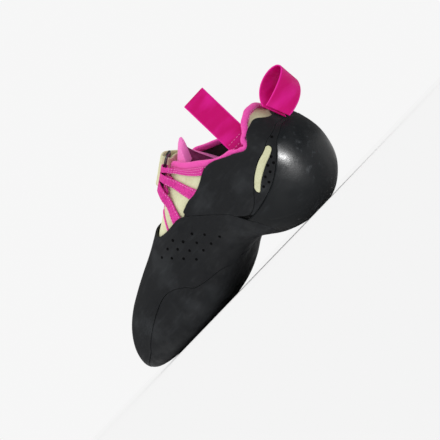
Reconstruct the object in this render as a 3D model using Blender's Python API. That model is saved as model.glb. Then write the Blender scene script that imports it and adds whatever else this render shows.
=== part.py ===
"""A climbing shoe for the right foot, built round the surface of its last.

Metres, +Z up. The toe points along -X, the big toe's side is -Y and the little toe's side is +Y. The
origin is the middle of the flat spot under the heel, so the shoe stands on z = 0.

The form is a fan of sections. Row 0 is the tip of the toe, and each further row is a closed section
that stands across the forefoot, then leans back until the last rows lie level round the ankle. In a
row, the angle goes round the section in degrees: 0 is the ridge of the instep, 90 the big toe's side,
180 the middle of the sole and 270 the little toe's side. Each piece of the shoe is an area of this
form between two depths, so the pieces follow the last and one another.
"""
import math

import bmesh
import bpy
import numpy as np

# The last, outside the rubber
LENGTH = 0.228
BALL_WIDTH = 0.0815
HEEL_WIDTH = 0.061
INSTEP_HEIGHT = 0.100
HEEL_HEIGHT = 0.074

# Layers
RUBBER = 0.0015
SOLE_EXTRA = 0.0020
UPPER_WALL = 0.0016
INSOLE_WALL = 0.0022
INSOLE_TRIM = 0.0018
TONGUE_WALL = 0.0022
LAYER_GAP = 0.0009
TOE_EASE = 0.0008
TOE_EASE_ROWS = 6
FIT_GAP = 0.0003
SEAM_GAP = 0.00028
EDGE_BEVEL = 0.0005
BEVEL_REACH = 0.0009
SEAM_REACH = 0.0006

# Trim
BINDING_WIDTH = 0.0030
BINDING_HEIGHT = 0.0032
TAPE = 0.0010
RIBBON = 0.0009
PULL_WIDTH = 0.0165
PULL_HEIGHT = 0.0360
PULL_SEAT = 0.0080
PULL_FOLD = 0.0012
PULL_CLEARANCE = 0.0016
PULL_TILT = 0.05
REAR_LOOP_LENGTH = 0.0300
REAR_LOOP_DEPTH = 0.0150
REAR_LOOP_LIFT = 0.0021
REAR_LOOP_WAY = (0.34, 0.80, 0.50)
REAR_LOOP_SIDE = (-0.36, 0.55, -0.75)
REAR_LOOP_START = 0.065
REAR_LOOP_FULLNESS = 0.6
STRAP = 0.0016
STRAP_WIDTH = 0.0215
STRAP_FLAP = 0.82
TAPE_BOW = 0.0004
BAR_REACH = 0.0100
RING_WIRE = 0.0010
RING_LENGTH = 0.0285
RING_WIDTH = 0.0090
RING_LIFT = 0.0022
RING_CORNER = 0.0022
TONGUE_RISE = 0.0200
TONGUE_TAPER = 0.10
TONGUE_ROUND = 0.22
SLOT_WIDTH = 0.0044
SLOT_SET_BACK = 0.0004

# Facets
UPPER_STEPS = 60
UPPER_ROWS = 11
ARCH_STEPS = 14
END_FADE = 5

# Sections of the fore part: x as shares of LENGTH, z as shares of INSTEP_HEIGHT, the axis and the two
# half widths as shares of BALL_WIDTH, the height of the widest place as a share of the section, and
# how square each quarter of the section is (2 is an ellipse)
SECTION_COLUMNS = (
    "sole_x", "sole_z", "ridge_x", "ridge_z", "axis_y", "medial", "lateral", "widest",
    "medial_top", "lateral_top", "medial_sole", "lateral_sole",
)
FORE_SECTIONS = (
    (-0.831, 0.140, -0.831, 0.140, -0.196, 0.000, 0.000, 0.45, 2.0, 2.0, 2.0, 2.0),
    (-0.824, 0.074, -0.821, 0.210, -0.196, 0.117, 0.129, 0.45, 2.0, 2.0, 2.1, 2.1),
    (-0.805, 0.036, -0.792, 0.315, -0.190, 0.190, 0.245, 0.42, 2.1, 2.0, 2.4, 2.4),
    (-0.772, 0.016, -0.748, 0.405, -0.172, 0.252, 0.356, 0.38, 2.2, 2.0, 2.7, 2.8),
    (-0.724, 0.003, -0.689, 0.480, -0.153, 0.307, 0.436, 0.34, 2.3, 1.9, 3.0, 3.2),
    (-0.662, -0.006, -0.623, 0.535, -0.129, 0.362, 0.503, 0.32, 2.4, 1.8, 3.2, 3.6),
    (-0.592, -0.008, -0.553, 0.590, -0.104, 0.405, 0.558, 0.31, 2.4, 1.8, 3.3, 3.8),
    (-0.522, -0.006, -0.487, 0.640, -0.086, 0.411, 0.589, 0.31, 2.4, 1.8, 3.3, 3.8),
    (-0.452, 0.014, -0.428, 0.700, -0.074, 0.387, 0.589, 0.31, 2.3, 1.8, 3.2, 3.6),
    (-0.386, 0.056, -0.377, 0.755, -0.061, 0.356, 0.564, 0.32, 2.3, 1.8, 3.0, 3.4),
    (-0.320, 0.114, -0.336, 0.805, -0.049, 0.331, 0.528, 0.33, 2.2, 1.9, 2.8, 3.2),
    (-0.259, 0.152, -0.300, 0.850, -0.037, 0.325, 0.491, 0.34, 2.2, 1.9, 2.6, 3.0),
    (-0.202, 0.158, -0.272, 0.885, -0.025, 0.331, 0.454, 0.35, 2.1, 1.9, 2.5, 2.8),
)
# Sections of the heel: as above, but sole_z as shares of HEEL_HEIGHT and the widths of HEEL_WIDTH
HEEL_SECTIONS = (
    (-0.149, 0.154, -0.250, 0.915, -0.016, 0.459, 0.566, 0.36, 2.1, 2.0, 2.4, 2.6),
    (-0.088, 0.042, -0.232, 0.940, -0.008, 0.475, 0.541, 0.36, 2.1, 2.0, 2.4, 2.5),
    (-0.013, -0.010, -0.219, 0.960, 0.000, 0.492, 0.525, 0.36, 2.1, 2.1, 2.5, 2.5),
    (0.061, 0.024, -0.208, 0.975, 0.000, 0.500, 0.516, 0.36, 2.1, 2.1, 2.4, 2.4),
    (0.123, 0.169, -0.200, 0.985, 0.000, 0.500, 0.508, 0.36, 2.1, 2.1, 2.4, 2.4),
    (0.151, 0.392, -0.193, 0.993, 0.000, 0.492, 0.500, 0.36, 2.1, 2.1, 2.4, 2.4),
    (0.145, 0.622, -0.188, 1.000, 0.000, 0.475, 0.484, 0.38, 2.1, 2.1, 2.3, 2.3),
    (0.116, 0.824, -0.183, 1.006, 0.000, 0.451, 0.459, 0.42, 2.1, 2.1, 2.2, 2.2),
    (0.096, 1.000, -0.180, 1.012, 0.000, 0.426, 0.434, 0.46, 2.1, 2.1, 2.2, 2.2),
    (0.088, 1.162, -0.177, 1.018, 0.000, 0.418, 0.426, 0.50, 2.1, 2.1, 2.2, 2.2),
    (0.083, 1.311, -0.175, 1.023, 0.000, 0.418, 0.426, 0.50, 2.1, 2.1, 2.2, 2.2),
)

# Seam lines, each a short table of places (row, angle) on the form
OUTSOLE_TIP = (1.35, 180)
OUTSOLE_EDGE = (
    (10.9, 160), (10.22, 132), (9.4, 108), (8.4, 88), (7.45, 77), (6.1, 77), (5.0, 83), (3.9, 92),
    (2.7, 107), (1.7, 133), OUTSOLE_TIP, (1.7, 225), (2.7, 248), (4.2, 259), (6.0, 262), (8.0, 259),
    (9.4, 244), (10.22, 224), (10.9, 200),
)
PATCH_TAIL = ((10.9, 160), (11.7, 163), (13.0, 153), (14.25, 136))
PATCH_TOP = (
    (14.4, 99), (14.3, 91), (13.55, 84), (12.55, 78), (11.35, 66), (9.85, 54), (8.75, 41), (8.3, 20),
    (8.2, 0), (8.4, -20), (8.9, -42), (9.9, -62), (11.2, -78), (12.8, -88), (14.4, -99),
)
CUP_FRONT = ((14.4, 99), (14.5, 112), (14.4, 124), (14.25, 136))
CUP_SOLE = ((14.25, 136), (14.55, 158), (14.65, 180), (14.55, 202), (14.25, 224))
CUP_TOP = (
    (14.4, 99), (15.0, 98.5), (15.9, 100), (16.9, 107), (17.65, 116), (18.25, 127), (18.85, 143),
    (19.25, 161), (19.4, 180),
)
HEEL_LINE = (
    (14.75, 96.4), (15.3, 95.0), (15.95, 92.6), (16.5, 91.6), (17.45, 95.5), (18.2, 109), (18.9, 131),
    (19.3, 152),
)
BAND_FRONT = ((14.3, 91), (11.6, 69))
BAND_SOLE = HEEL_LINE + ((19.55, 167), (19.6, 180))
RUBBER_TOP = (
    (11.75, 64.5), (13.3, 63.2), (15.3, 61), (16.9, 63), (17.7, 70), (18.35, 86), (18.62, 100),
    (19.2, 115), (19.95, 136), (20.3, 153), (20.1, 168), (20.0, 180),
)
INSERT_ENDS = ((15.15, 96.5), (19.3, 154))
SLOT_ENDS = (0.27, 0.80)
# Where the toe patch's lines meet its top: pairs of shares of its sole side and its top side, and the
# share of the top side that belongs to the corner of the outsole
PATCH_SLIDE = ((0.25, 0.20), (0.375, 0.41), (0.5, 0.5))
PATCH_CORNER = 0.018
COLLAR = (
    (15.0, 21), (16.4, 38), (17.65, 62), (18.5, 84), (18.82, 100), (19.4, 114), (20.2, 135),
    (20.85, 153), (21.15, 168), (21.2, 180),
)
THROAT_MEDIAL = ((9.3, -2), (9.5, 7), (10.2, 12), (12.0, 14), (14.0, 16.5))
THROAT_LATERAL = ((9.3, -2), (9.5, -12), (10.2, -19), (12.0, -22), (14.0, -23), (15.0, -26))
MARGIN = (
    (1.9, 180), (2.4, 150), (4.0, 134), (7.0, 130), (10.0, 134), (12.5, 142), (14.5, 146),
    (16.0, 158), (16.5, 180),
)
# Finger webbings: the rows of their two edges at the ring, and the place of each edge at the rubber
FINGERS = {
    "finger_lower": ((11.1, 12.0), (10.3, 54.5), (11.2, 61.0)),
    "finger_middle": ((12.1, 13.0), (13.1, 61.0), (14.5, 60.0)),
    "finger_top": ((13.1, 14.0), (16.1, 59.5), (16.95, 61.5)),
}
RING_ROW = 12.55
RING_BAR_ANGLE = 20.0
STRAP_ANCHOR_ANGLE = -59.0
PULL_ENDS = ((18.5, 84), (20.4, 145))
REAR_LOOP_ROWS = (20.7, 19.2)
TONGUE_ROWS = (8.5, 14.6)
TONGUE_ANGLES = (-52.0, 44.0)
# How high the tongue's top edge stands, as shares of its rise, from the little toe's side
TONGUE_TOP = (0.10, 0.12, 0.16, 0.28, 0.48, 0.72, 0.88, 0.86, 0.50)

OUTER_RUBBER = ("black_rubber", (0.020, 0.021, 0.023), 0.55)
GLOSS_RUBBER = ("gloss_rubber", (0.012, 0.012, 0.014), 0.28)
CREAM = ("cream_microfibre", (0.74, 0.74, 0.56), 0.85)
PINK = ("pink_microfibre", (0.80, 0.12, 0.42), 0.80)
PINK_RIBBON = ("pink_ribbon", (0.78, 0.03, 0.36), 0.40)
STEEL = ("ring_steel", (0.30, 0.30, 0.31), 0.35)
BOARD = ("insole_board", (0.30, 0.28, 0.25), 0.90)


def cubic(points, places):
    """Read a smooth curve through points, at fractional indices places."""
    points = np.asarray(points, float)
    padded = np.vstack([2 * points[0] - points[1], points, 2 * points[-1] - points[-2]])
    index = np.clip(np.floor(places).astype(int), 0, len(points) - 2)
    share = (places - index)[..., None]
    before, start, end, after = (padded[index + step] for step in range(4))
    return 0.5 * (
        2 * start
        + (end - before) * share
        + (2 * before - 5 * start + 4 * end - after) * share**2
        + (3 * start - before - 3 * end + after) * share**3
    )


def section_sizes():
    """Work out every section's sizes in metres, with a mirrored row before the toe's tip."""
    fore = np.array(FORE_SECTIONS)
    heel = np.array(HEEL_SECTIONS)
    fore[:, [0, 2]] *= LENGTH
    heel[:, [0, 2]] *= LENGTH
    fore[:, [1, 3]] *= INSTEP_HEIGHT
    heel[:, 1] *= HEEL_HEIGHT
    heel[:, 3] *= INSTEP_HEIGHT
    fore[:, 4:7] *= BALL_WIDTH
    heel[:, 4:7] *= HEEL_WIDTH
    rows = np.vstack([fore, heel])
    mirrored = rows[1].copy()
    mirrored[[0, 1, 2, 3]] = rows[1][[2, 3, 0, 1]]
    mirrored[5:7] *= -1
    return np.vstack([mirrored, rows])


SIZES = section_sizes()


def surface(spots):
    """Points of the outer form at flat places (row * cos(angle), row * sin(angle))."""
    row = np.hypot(spots[..., 0], spots[..., 1])
    angle = np.arctan2(spots[..., 1], spots[..., 0])
    sizes = cubic(SIZES, row + 1)
    named = {name: sizes[..., column] for column, name in enumerate(SECTION_COLUMNS)}
    along, across = np.cos(angle), np.sin(angle)
    medial, upper = across >= 0, along >= 0
    top = np.where(medial, named["medial_top"], named["lateral_top"])
    sole = np.where(medial, named["medial_sole"], named["lateral_sole"])
    power = 2 / np.where(upper, top, sole)
    along = np.sign(along) * np.abs(along) ** power
    across = np.sign(across) * np.abs(across) ** power
    reach = np.where(upper, 1 - named["widest"], named["widest"])
    share = named["widest"] + along * reach
    x = named["sole_x"] + share * (named["ridge_x"] - named["sole_x"])
    z = named["sole_z"] + share * (named["ridge_z"] - named["sole_z"])
    y = named["axis_y"] - across * np.where(medial, named["medial"], named["lateral"])
    return np.stack([x, y, z], -1)


def slopes(spots):
    """Unit vectors along both directions of the flat plan, and the outward normal."""
    step = 0.04
    right, up = np.array([step, 0.0]), np.array([0.0, step])
    first = surface(spots + right) - surface(spots - right)
    second = surface(spots + up) - surface(spots - up)
    normal = np.cross(second, first)
    unit = [vector / np.linalg.norm(vector, axis=-1, keepdims=True) for vector in (first, second, normal)]
    return unit[0], unit[1], unit[2]


def point(spots, depth, floor=False):
    """Points at a depth under the form; floor keeps them on or above the ground."""
    spots = np.asarray(spots, float)
    depth = np.broadcast_to(depth, spots.shape[:-1])
    places = surface(spots) - slopes(spots)[2] * depth[..., None]
    if floor:
        places[..., 2] = np.maximum(places[..., 2], 0.0)
    return places


def spot(row, angle):
    """Flat place of a row and an angle in degrees."""
    turn = np.radians(angle)
    return np.stack([row * np.cos(turn), row * np.sin(turn)], -1)


def sole_extra(spots):
    """How much deeper the inner layers lie under the foot than at its sides."""
    turn = np.degrees(np.arctan2(spots[..., 1], spots[..., 0]))
    share = np.clip((np.abs(turn) - 100) / 45, 0, 1)
    return SOLE_EXTRA * share**2 * (3 - 2 * share)


def seam(table, samples=12):
    """A smooth seam as many flat places: a natural spline through a table of (row, angle)."""
    table = np.array(table, float)
    knots = spot(table[:, 0], table[:, 1])
    gaps = np.linalg.norm(np.diff(surface(knots), axis=0), axis=-1)
    count = len(knots)
    system, load = np.eye(count), np.zeros((count, 2))
    for index in range(1, count - 1):
        before, after = gaps[index - 1], gaps[index]
        system[index, index - 1:index + 2] = before, 2 * (before + after), after
        rise_after = (knots[index + 1] - knots[index]) / after
        load[index] = 6 * (rise_after - (knots[index] - knots[index - 1]) / before)
    bend = np.linalg.solve(system, load)
    places = [knots[:1]]
    for index, gap in enumerate(gaps):
        t = np.linspace(0, 1, samples + 1)[1:, None]
        line = knots[index] * (1 - t) + knots[index + 1] * t
        bow = ((1 - t) ** 3 - (1 - t)) * bend[index] + (t**3 - t) * bend[index + 1]
        places.append(line + bow * gap**2 / 6)
    return np.concatenate(places)


def both_sides(table):
    """A table that ends at the heel's middle, carried on round the little toe's side."""
    return tuple(table) + tuple((row, 360 - angle) for row, angle in reversed(table[:-1]))


def other_side(line):
    """The same seam on the little toe's side, in the opposite order."""
    return line[::-1] * (1, -1)


def aside(places, flat_way, target, distance):
    """Flat places of a line moved a real distance over the form, square to its way, toward target's side."""
    step = 0.04
    first = (surface(places + (step, 0)) - surface(places - (step, 0))) / (2 * step)
    second = (surface(places + (0, step)) - surface(places - (0, step))) / (2 * step)
    chord = target - places
    side = np.sign((flat_way[:, 0] * chord[:, 1] - flat_way[:, 1] * chord[:, 0]).sum())
    ahead = first * flat_way[:, :1] + second * flat_way[:, 1:]
    move = np.cross(ahead, slopes(places)[2]) * side
    move /= np.linalg.norm(move, axis=-1, keepdims=True)
    room = np.linalg.norm(surface(target) - surface(places), axis=-1, keepdims=True)
    move *= np.minimum(distance, 0.2 * room)
    moved = [np.linalg.lstsq(np.stack([a, b], -1), c, rcond=None)[0] for a, b, c in zip(first, second, move)]
    return places + np.array(moved)


def beside(line, along, other, other_along):
    """Places at shares of a seam, moved off it by the seam's clearance toward another seam's places."""
    reach = SEAM_REACH / length(line)
    before, after = (walk(line, np.clip(along + step, 0, 1)) for step in (-reach, reach))
    return aside(walk(line, along), after - before, walk(other, other_along), SEAM_GAP)


def joined(*lines):
    """One seam from several that meet end to end."""
    return np.concatenate([lines[0]] + [line[1:] for line in lines[1:]])


def travelled(line):
    """The real distance along a seam, at each of its places."""
    return np.concatenate([[0], np.cumsum(np.linalg.norm(np.diff(surface(line), axis=0), axis=-1))])


def walk(line, shares_along):
    """Flat places at shares of a seam's real length."""
    distance = travelled(line)
    wanted = np.asarray(shares_along) * distance[-1]
    return np.stack([np.interp(wanted, distance, line[:, column]) for column in range(2)], -1)


def length(line):
    """The real length of a seam."""
    return travelled(line)[-1]


def straight(first, last):
    """A straight seam between two flat places."""
    return np.linspace(first, last, 12)


def even_line(first, last):
    """A line on the form between two (row, angle), read evenly in rows and angles."""
    return spot(np.linspace(first[0], last[0], 12), np.linspace(first[1], last[1], 12))


def area(sole_line, top_line, start_line, end_line, u, v, slide):
    """Flat places inside four seams: u runs along the first two, v = (count, crowd) steps across."""
    turned = np.interp(u, *slide)
    low, high = beside(sole_line, u, top_line, turned), beside(top_line, turned, sole_line, u)
    v = shares(v[0], real_width(low, high), v[1], gap=0.0)
    s, t = u[:, None, None], v[..., None]
    places = low[:, None] * (1 - t) + high[:, None] * t
    for line, row, fade in ((start_line, 0, (1 - s) ** END_FADE), (end_line, -1, s**END_FADE)):
        places += (walk(line, v[row]) - (line[0] * (1 - t[row]) + line[-1] * t[row])) * fade
    return places


def real_width(first, second):
    """The real length of the flat line from each place of one seam to the same place of another."""
    steps = np.linspace(0, 1, 9)[:, None, None]
    places = surface(first * (1 - steps) + second * steps)
    return np.linalg.norm(np.diff(places, axis=0), axis=-1).sum(0)


def sections(first, second, v):
    """Flat places under the foot from one edge to the other, each line of them along its own row."""
    rows = [np.hypot(edge[:, 0], edge[:, 1])[:, None] for edge in (first, second)]
    turns = [np.degrees(np.arctan2(edge[:, 1], edge[:, 0]))[:, None] % 360 for edge in (first, second)]
    return spot(rows[0] * (1 - v) + rows[1] * v, turns[0] * (1 - v) + turns[1] * v)


def shares(count, side, crowd=0.0, gap=SEAM_GAP):
    """Shares along sides of real lengths: the seam's clearance, a bevel, then steps closer at both ends."""
    side = np.asarray(side, float)[..., None]
    gap = gap / side
    reach = np.minimum(BEVEL_REACH / side, 0.2)
    even = np.linspace(0, 1, count + 1)
    eased = 0.5 - 0.5 * np.cos(math.pi * even)
    inner = gap + reach + (1 - 2 * gap - 2 * reach) * ((1 - crowd) * even + crowd * eased)
    return np.concatenate([gap, inner, 1 - gap], -1)


def stretch(line, first, last):
    """The part of a seam between the places nearest two (row, angle)."""
    start, end = (np.argmin(np.linalg.norm(line - spot(*place), axis=-1)) for place in (first, last))
    return line[start:end + 1]


def paint(thing, finish):
    """Give an object its plain material."""
    name, colour, roughness = finish
    material = bpy.data.materials.get(name) or bpy.data.materials.new(name)
    material.use_nodes = True
    shader = material.node_tree.nodes["Principled BSDF"]
    shader.inputs["Base Color"].default_value = (*colour, 1)
    shader.inputs["Roughness"].default_value = roughness
    shader.inputs["Metallic"].default_value = 1.0 if finish is STEEL else 0.0
    thing.data.materials.append(material)


def solid(name, points, faces, finish):
    """Make one closed object from points and faces, with its faces pointing out."""
    mesh = bpy.data.meshes.new(name)
    mesh.from_pydata(np.asarray(points).reshape(-1, 3).tolist(), [], faces)
    form = bmesh.new()
    form.from_mesh(mesh)
    bmesh.ops.recalc_face_normals(form, faces=form.faces)
    if form.calc_volume(signed=True) < 0:
        bmesh.ops.reverse_faces(form, faces=form.faces)
    form.to_mesh(mesh)
    form.free()
    mesh.shade_smooth()
    mesh.set_sharp_from_angle(angle=math.radians(38))
    thing = bpy.data.objects.new(name, mesh)
    bpy.context.scene.collection.objects.link(thing)
    paint(thing, finish)
    return thing


def sheet_faces(across, along, offset, ring):
    """Four-sided faces of one grid of points, numbered from offset."""
    faces = []
    for u in range(across if ring else across - 1):
        after = (u + 1) % across
        for v in range(along - 1):
            corner = (u * along + v, after * along + v, after * along + v + 1, u * along + v + 1)
            faces.append(tuple(offset + index for index in corner))
    return faces


def shell(name, outer, inner, finish, ring=False):
    """A closed wall between two grids of points; ring joins the last line to the first."""
    across, along = outer.shape[:2]
    count = across * along
    faces = sheet_faces(across, along, 0, ring)
    faces += [tuple(reversed(face)) for face in sheet_faces(across, along, count, ring)]
    edges = [[u * along for u in range(across)], [u * along + along - 1 for u in range(across)]]
    if ring:
        edges = [edge + edge[:1] for edge in edges]
    else:
        edges += [list(range(along)), [(across - 1) * along + v for v in range(along)]]
    for edge in edges:
        faces += [(a, b, b + count, a + count) for a, b in zip(edge, edge[1:])]
    return solid(name, np.concatenate([outer.reshape(-1, 3), inner.reshape(-1, 3)]), faces, finish)


def lip_depth(across, along, ring=False):
    """A grid of extra depths that bevels the border of a layer."""
    depth = np.zeros((across, along))
    depth[:, [0, -1]] = EDGE_BEVEL
    if not ring:
        depth[[0, -1], :] = EDGE_BEVEL
    return depth


def rubber(name, lines, counts, finish=OUTER_RUBBER, slide=((0, 1), (0, 1))):
    """One rubber piece between four seams, thicker under the foot.

    lines are its sole side, top side, start and end. counts are the steps along (or the shares
    themselves), the steps across and how much those crowd to the borders. slide pairs shares of
    the two long sides.
    """
    u = counts[0]
    if isinstance(u, int):
        u = shares(u, min(length(lines[0]), length(lines[1])))
    spots = area(*lines, u, counts[1:], slide)
    outer = point(spots, lip_depth(*spots.shape[:2]), floor=True)
    inner = point(spots, RUBBER + sole_extra(spots))
    return shell(name, outer, inner, finish)


class Seams:
    """Every seam of the rubber, from the tables above."""

    def __init__(self):
        self.outsole = seam(OUTSOLE_EDGE)
        toe = np.argmin(np.linalg.norm(self.outsole - spot(*OUTSOLE_TIP), axis=-1))
        self.outsole_medial = self.outsole[:toe + 1][::-1]
        self.outsole_lateral = self.outsole[toe:]
        self.tail = seam(PATCH_TAIL)
        self.patch_top = seam(PATCH_TOP)
        self.cup_front = seam(CUP_FRONT)
        self.cup_sole = seam(CUP_SOLE)
        self.cup_top = seam(both_sides(CUP_TOP))
        near = joined(stretch(self.patch_top, *BAND_FRONT)[::-1], seam(BAND_SOLE))
        self.band_sole = joined(near, other_side(near))
        self.rubber_top = seam(both_sides(RUBBER_TOP))
        self.insert_front = stretch(self.band_sole[:len(self.band_sole) // 2], *INSERT_ENDS)
        self.insert_rear = stretch(self.cup_top[:len(self.cup_top) // 2], *INSERT_ENDS)


def outsole_stations(edge):
    """Shares along each side of the outsole, from the toe; the toe patch has the same ones."""
    return np.concatenate([[0.015, 0.04], np.linspace(0.075, 1 - SEAM_GAP / length(edge), 19)])


def patch_stations(seams):
    """Shares along the toe patch's sole side that meet the outsole's own."""
    lines = (seams.tail, seams.outsole_medial, seams.outsole_lateral)
    tail, medial, lateral = (length(line) for line in lines)
    along = outsole_stations(seams.outsole_medial)
    start = shares(5, tail)[:-1] * tail
    near = tail + medial * (1 - along[::-1])
    far = tail + medial + lateral * outsole_stations(seams.outsole_lateral)
    total = 2 * tail + medial + lateral
    return np.concatenate([start, near, far, total - start[::-1]]) / total


def build_outsole(seams):
    """The outsole, from the toe to the arch, wrapped up the big toe's side."""
    medial, lateral = seams.outsole_medial, seams.outsole_lateral
    along = outsole_stations(medial)
    middle = even_line(OUTSOLE_TIP, (OUTSOLE_EDGE[0][0], 180))
    near, far = (beside(edge, along, middle, along) for edge in (medial, lateral))
    across = shares(11, real_width(near, far), 0.6, gap=0.0)
    spots = sections(near, far, across)
    outer = point(spots, lip_depth(*spots.shape[:2]), floor=True)
    inner = point(spots, RUBBER + sole_extra(spots))
    return shell("outsole", outer, inner, OUTER_RUBBER)


def build_rubber(seams):
    """The rubber pieces round the last: toe patch, arch piece, side band, heel inserts and heel cup."""
    far_front = other_side(seams.cup_front)
    patch_sole = joined(seams.tail[::-1], seams.outsole, other_side(seams.tail)[::-1])
    corner = length(seams.tail) / length(patch_sole)
    edge = (SEAM_GAP + BEVEL_REACH) / np.array((length(patch_sole), length(seams.patch_top)))
    slide = np.array(((0, 0), edge, (corner, PATCH_CORNER)) + PATCH_SLIDE)
    slide = np.concatenate([slide, 1 - slide[-2::-1]]).T
    lines = (patch_sole, seams.patch_top, seams.cup_front[::-1], far_front)
    rubber("toe_patch", lines, (patch_stations(seams), 10, 0.3), slide=slide)
    build_arch(seams)
    band_sole, band_top = seams.band_sole, seams.rubber_top
    ends = [straight(band_sole[index], band_top[index]) for index in (0, -1)]
    rubber("side_band", (band_sole, band_top, *ends), (48, 2, 0))
    cup_sole = joined(seams.cup_front, seams.cup_sole, far_front)
    near, far = cup_sole[0], cup_sole[-1]
    front, under = length(seams.cup_front), length(seams.cup_sole)
    start = np.append(shares(6, front)[:-2] * front, front)
    total = 2 * front + under
    middle = front + shares(ARCH_STEPS, under)[1:-1] * under
    along = np.concatenate([start, middle, total - start[::-1]]) / total
    lines = (cup_sole, seams.cup_top, straight(near, near), straight(far, far))
    rubber("heel_cup", lines, (along, 9, 0.3), GLOSS_RUBBER)
    build_inserts(seams)


def build_arch(seams):
    """The arch piece, under the waist of the foot between the outsole and the heel cup."""
    along = shares(8, length(seams.tail))
    middle = even_line((OUTSOLE_EDGE[0][0], 180), (CUP_SOLE[0][0], 180))
    near = beside(seams.tail, along, middle, along)
    across = shares(ARCH_STEPS, real_width(near, near * (1, -1)), gap=0.0)
    spots = sections(near, near * (1, -1), across)
    spots += (walk(seams.cup_sole, across[-1]) - spots[-1]) * along[:, None, None] ** 2
    outer = point(spots, lip_depth(*spots.shape[:2]), floor=True)
    shell("arch_piece", outer, point(spots, RUBBER + sole_extra(spots)), OUTER_RUBBER)


def build_inserts(seams):
    """The crescent of rubber on each side of the heel, with its slot, and the inlay in the slot."""
    for side, flip in (("medial", 1), ("lateral", -1)):
        front, rear = seams.insert_front * (1, flip), seams.insert_rear * (1, flip)
        ends = [straight(front[index], rear[index]) for index in (0, -1)]
        insert = rubber("heel_insert_" + side, (front, rear, *ends), (10, 3, 0))
        window = slot_solid("slot_window_" + side, front, rear, 0.0, -RUBBER, 2 * RUBBER)
        window.hide_render = True
        window.display_type = "WIRE"
        cut = insert.modifiers.new("Slot", "BOOLEAN")
        cut.operation = "DIFFERENCE"
        cut.object = window
        slot_solid("heel_slot_" + side, front, rear, FIT_GAP, SLOT_SET_BACK, RUBBER)


def slot_solid(name, front, rear, trim, outer, inner):
    """A strip with round ends along the front of an insert, between two depths."""
    half = 0.5 * SLOT_WIDTH
    first, last = SLOT_ENDS
    eased = 0.5 - 0.5 * np.cos(np.linspace(0, math.pi, 11))
    ends = trim / length(front)
    u = first + ends + (last - first - 2 * ends) * eased
    fore, back = walk(front, u), walk(rear, u)
    width = np.linalg.norm(surface(back) - surface(fore), axis=-1)
    place = travelled(fore)
    end = np.minimum(place, place[-1] - place)
    radius = half - trim
    reach = np.sqrt(np.maximum(radius**2 - np.maximum(radius - end, 0) ** 2, (0.25 * radius) ** 2))
    across = (half + reach[:, None] * np.linspace(-1, 1, 3)) / width[:, None]
    spots = fore[:, None] * (1 - across[..., None]) + back[:, None] * across[..., None]
    return shell(name, point(spots, outer), point(spots, inner), CREAM)


def build_upper():
    """The upper: one wall from the margin under the foot to the collar and round the throat."""
    collar = collar_line()
    margin = seam(both_sides(MARGIN))
    u = np.linspace(0, 1, UPPER_STEPS + 1)[:-1]
    low, high = walk(margin, u), walk(collar, u)
    way = np.roll(high, -1, axis=0) - np.roll(high, 1, axis=0)
    rim = aside(high, way, low, BINDING_HEIGHT + FIT_GAP)
    v = np.linspace(0, 1, UPPER_ROWS + 1)[None, :, None] ** 1.4
    spots = low[:, None] * (1 - v) + rim[:, None] * v
    toe = np.clip((TOE_EASE_ROWS - np.hypot(spots[..., 0], spots[..., 1])) / TOE_EASE_ROWS, 0, 1)
    depth = RUBBER + LAYER_GAP + TOE_EASE * toe + sole_extra(spots)
    outer, inner = point(spots, depth), point(spots, depth + UPPER_WALL)
    shell("upper", outer, inner, CREAM, ring=True)
    build_binding(spots, high)


def collar_line():
    """The edge of the upper: from the throat's tip along the big toe's side, the collar and back."""
    medial = THROAT_MEDIAL + COLLAR
    lateral = tuple((row, -angle) for row, angle in reversed(COLLAR[1:-1])) + tuple(reversed(THROAT_LATERAL))
    return seam(medial + lateral)


def build_binding(spots, edge):
    """The bound edge of the collar and throat: a bead that completes the upper's wall."""
    rim = spots[:, -1]
    normal = slopes(edge)[2]
    middle_depth = RUBBER + LAYER_GAP + 0.5 * UPPER_WALL
    low = point(rim, middle_depth)
    out = point(edge, middle_depth) - low
    out /= np.linalg.norm(out, axis=-1, keepdims=True)
    base = low + out * FIT_GAP
    profile = ((0.0, -0.5), (0.45, -0.5), (1.0, -0.22), (1.0, 0.22), (0.45, 0.5), (0.0, 0.5))
    rings = [base + out * rise * BINDING_HEIGHT + normal * side * BINDING_WIDTH for rise, side in profile]
    tube("collar_binding", np.stack(rings, 1), PINK)


def build_insole():
    """The insole board: it fills the opening that the upper's margin leaves under the foot."""
    medial = seam(both_sides(MARGIN))
    medial = medial[:len(medial) // 2 + 1]
    along = np.linspace(0.07, 0.97, 22)
    near = walk(medial, along)
    trim = INSOLE_TRIM / real_width(near, near * (1, -1))[:, None]
    spots = sections(near, near * (1, -1), trim + (1 - 2 * trim) * np.linspace(0, 1, 7))
    depth = RUBBER + 1.5 * LAYER_GAP + sole_extra(spots)
    shell("insole", point(spots, depth), point(spots, depth + INSOLE_WALL), BOARD)


def ribbon(name, middle, side, wall, finish):
    """A closed strip round a grid of middle points, its wall square to the path and to side."""
    ahead = np.gradient(middle, axis=0)
    normal = np.cross(side, ahead)
    normal /= np.linalg.norm(normal, axis=-1, keepdims=True)
    return shell(name, middle + 0.5 * wall * normal, middle - 0.5 * wall * normal, finish)


def wrap(near, lift, radius, far):
    """A folded tape's path as (distance, height): under the bar, round it, and away over the top."""
    turn = np.radians(np.linspace(270, 90, 7))
    bend = [(radius * math.cos(angle), lift + radius * math.sin(angle)) for angle in turn]
    return np.array(list(near) + bend + list(far))


def round_bar(grid, path, bar, away, outward):
    """Points of a folded tape: on the form at grid, and turned round a straight bar near it."""
    start, ridge = bar
    along = (grid[np.argmin(path[:, 0])] - start) @ ridge
    distance, height = path[:, 0, None, None], path[:, 1, None, None]
    at_bar = start + ridge * along[None, :, None] + away * distance + outward * (height - RING_LIFT)
    blend = np.clip(distance / BAR_REACH, 0, 1)
    blend = blend * blend * (3 - 2 * blend)
    return at_bar * (1 - blend) + grid * blend


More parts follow.
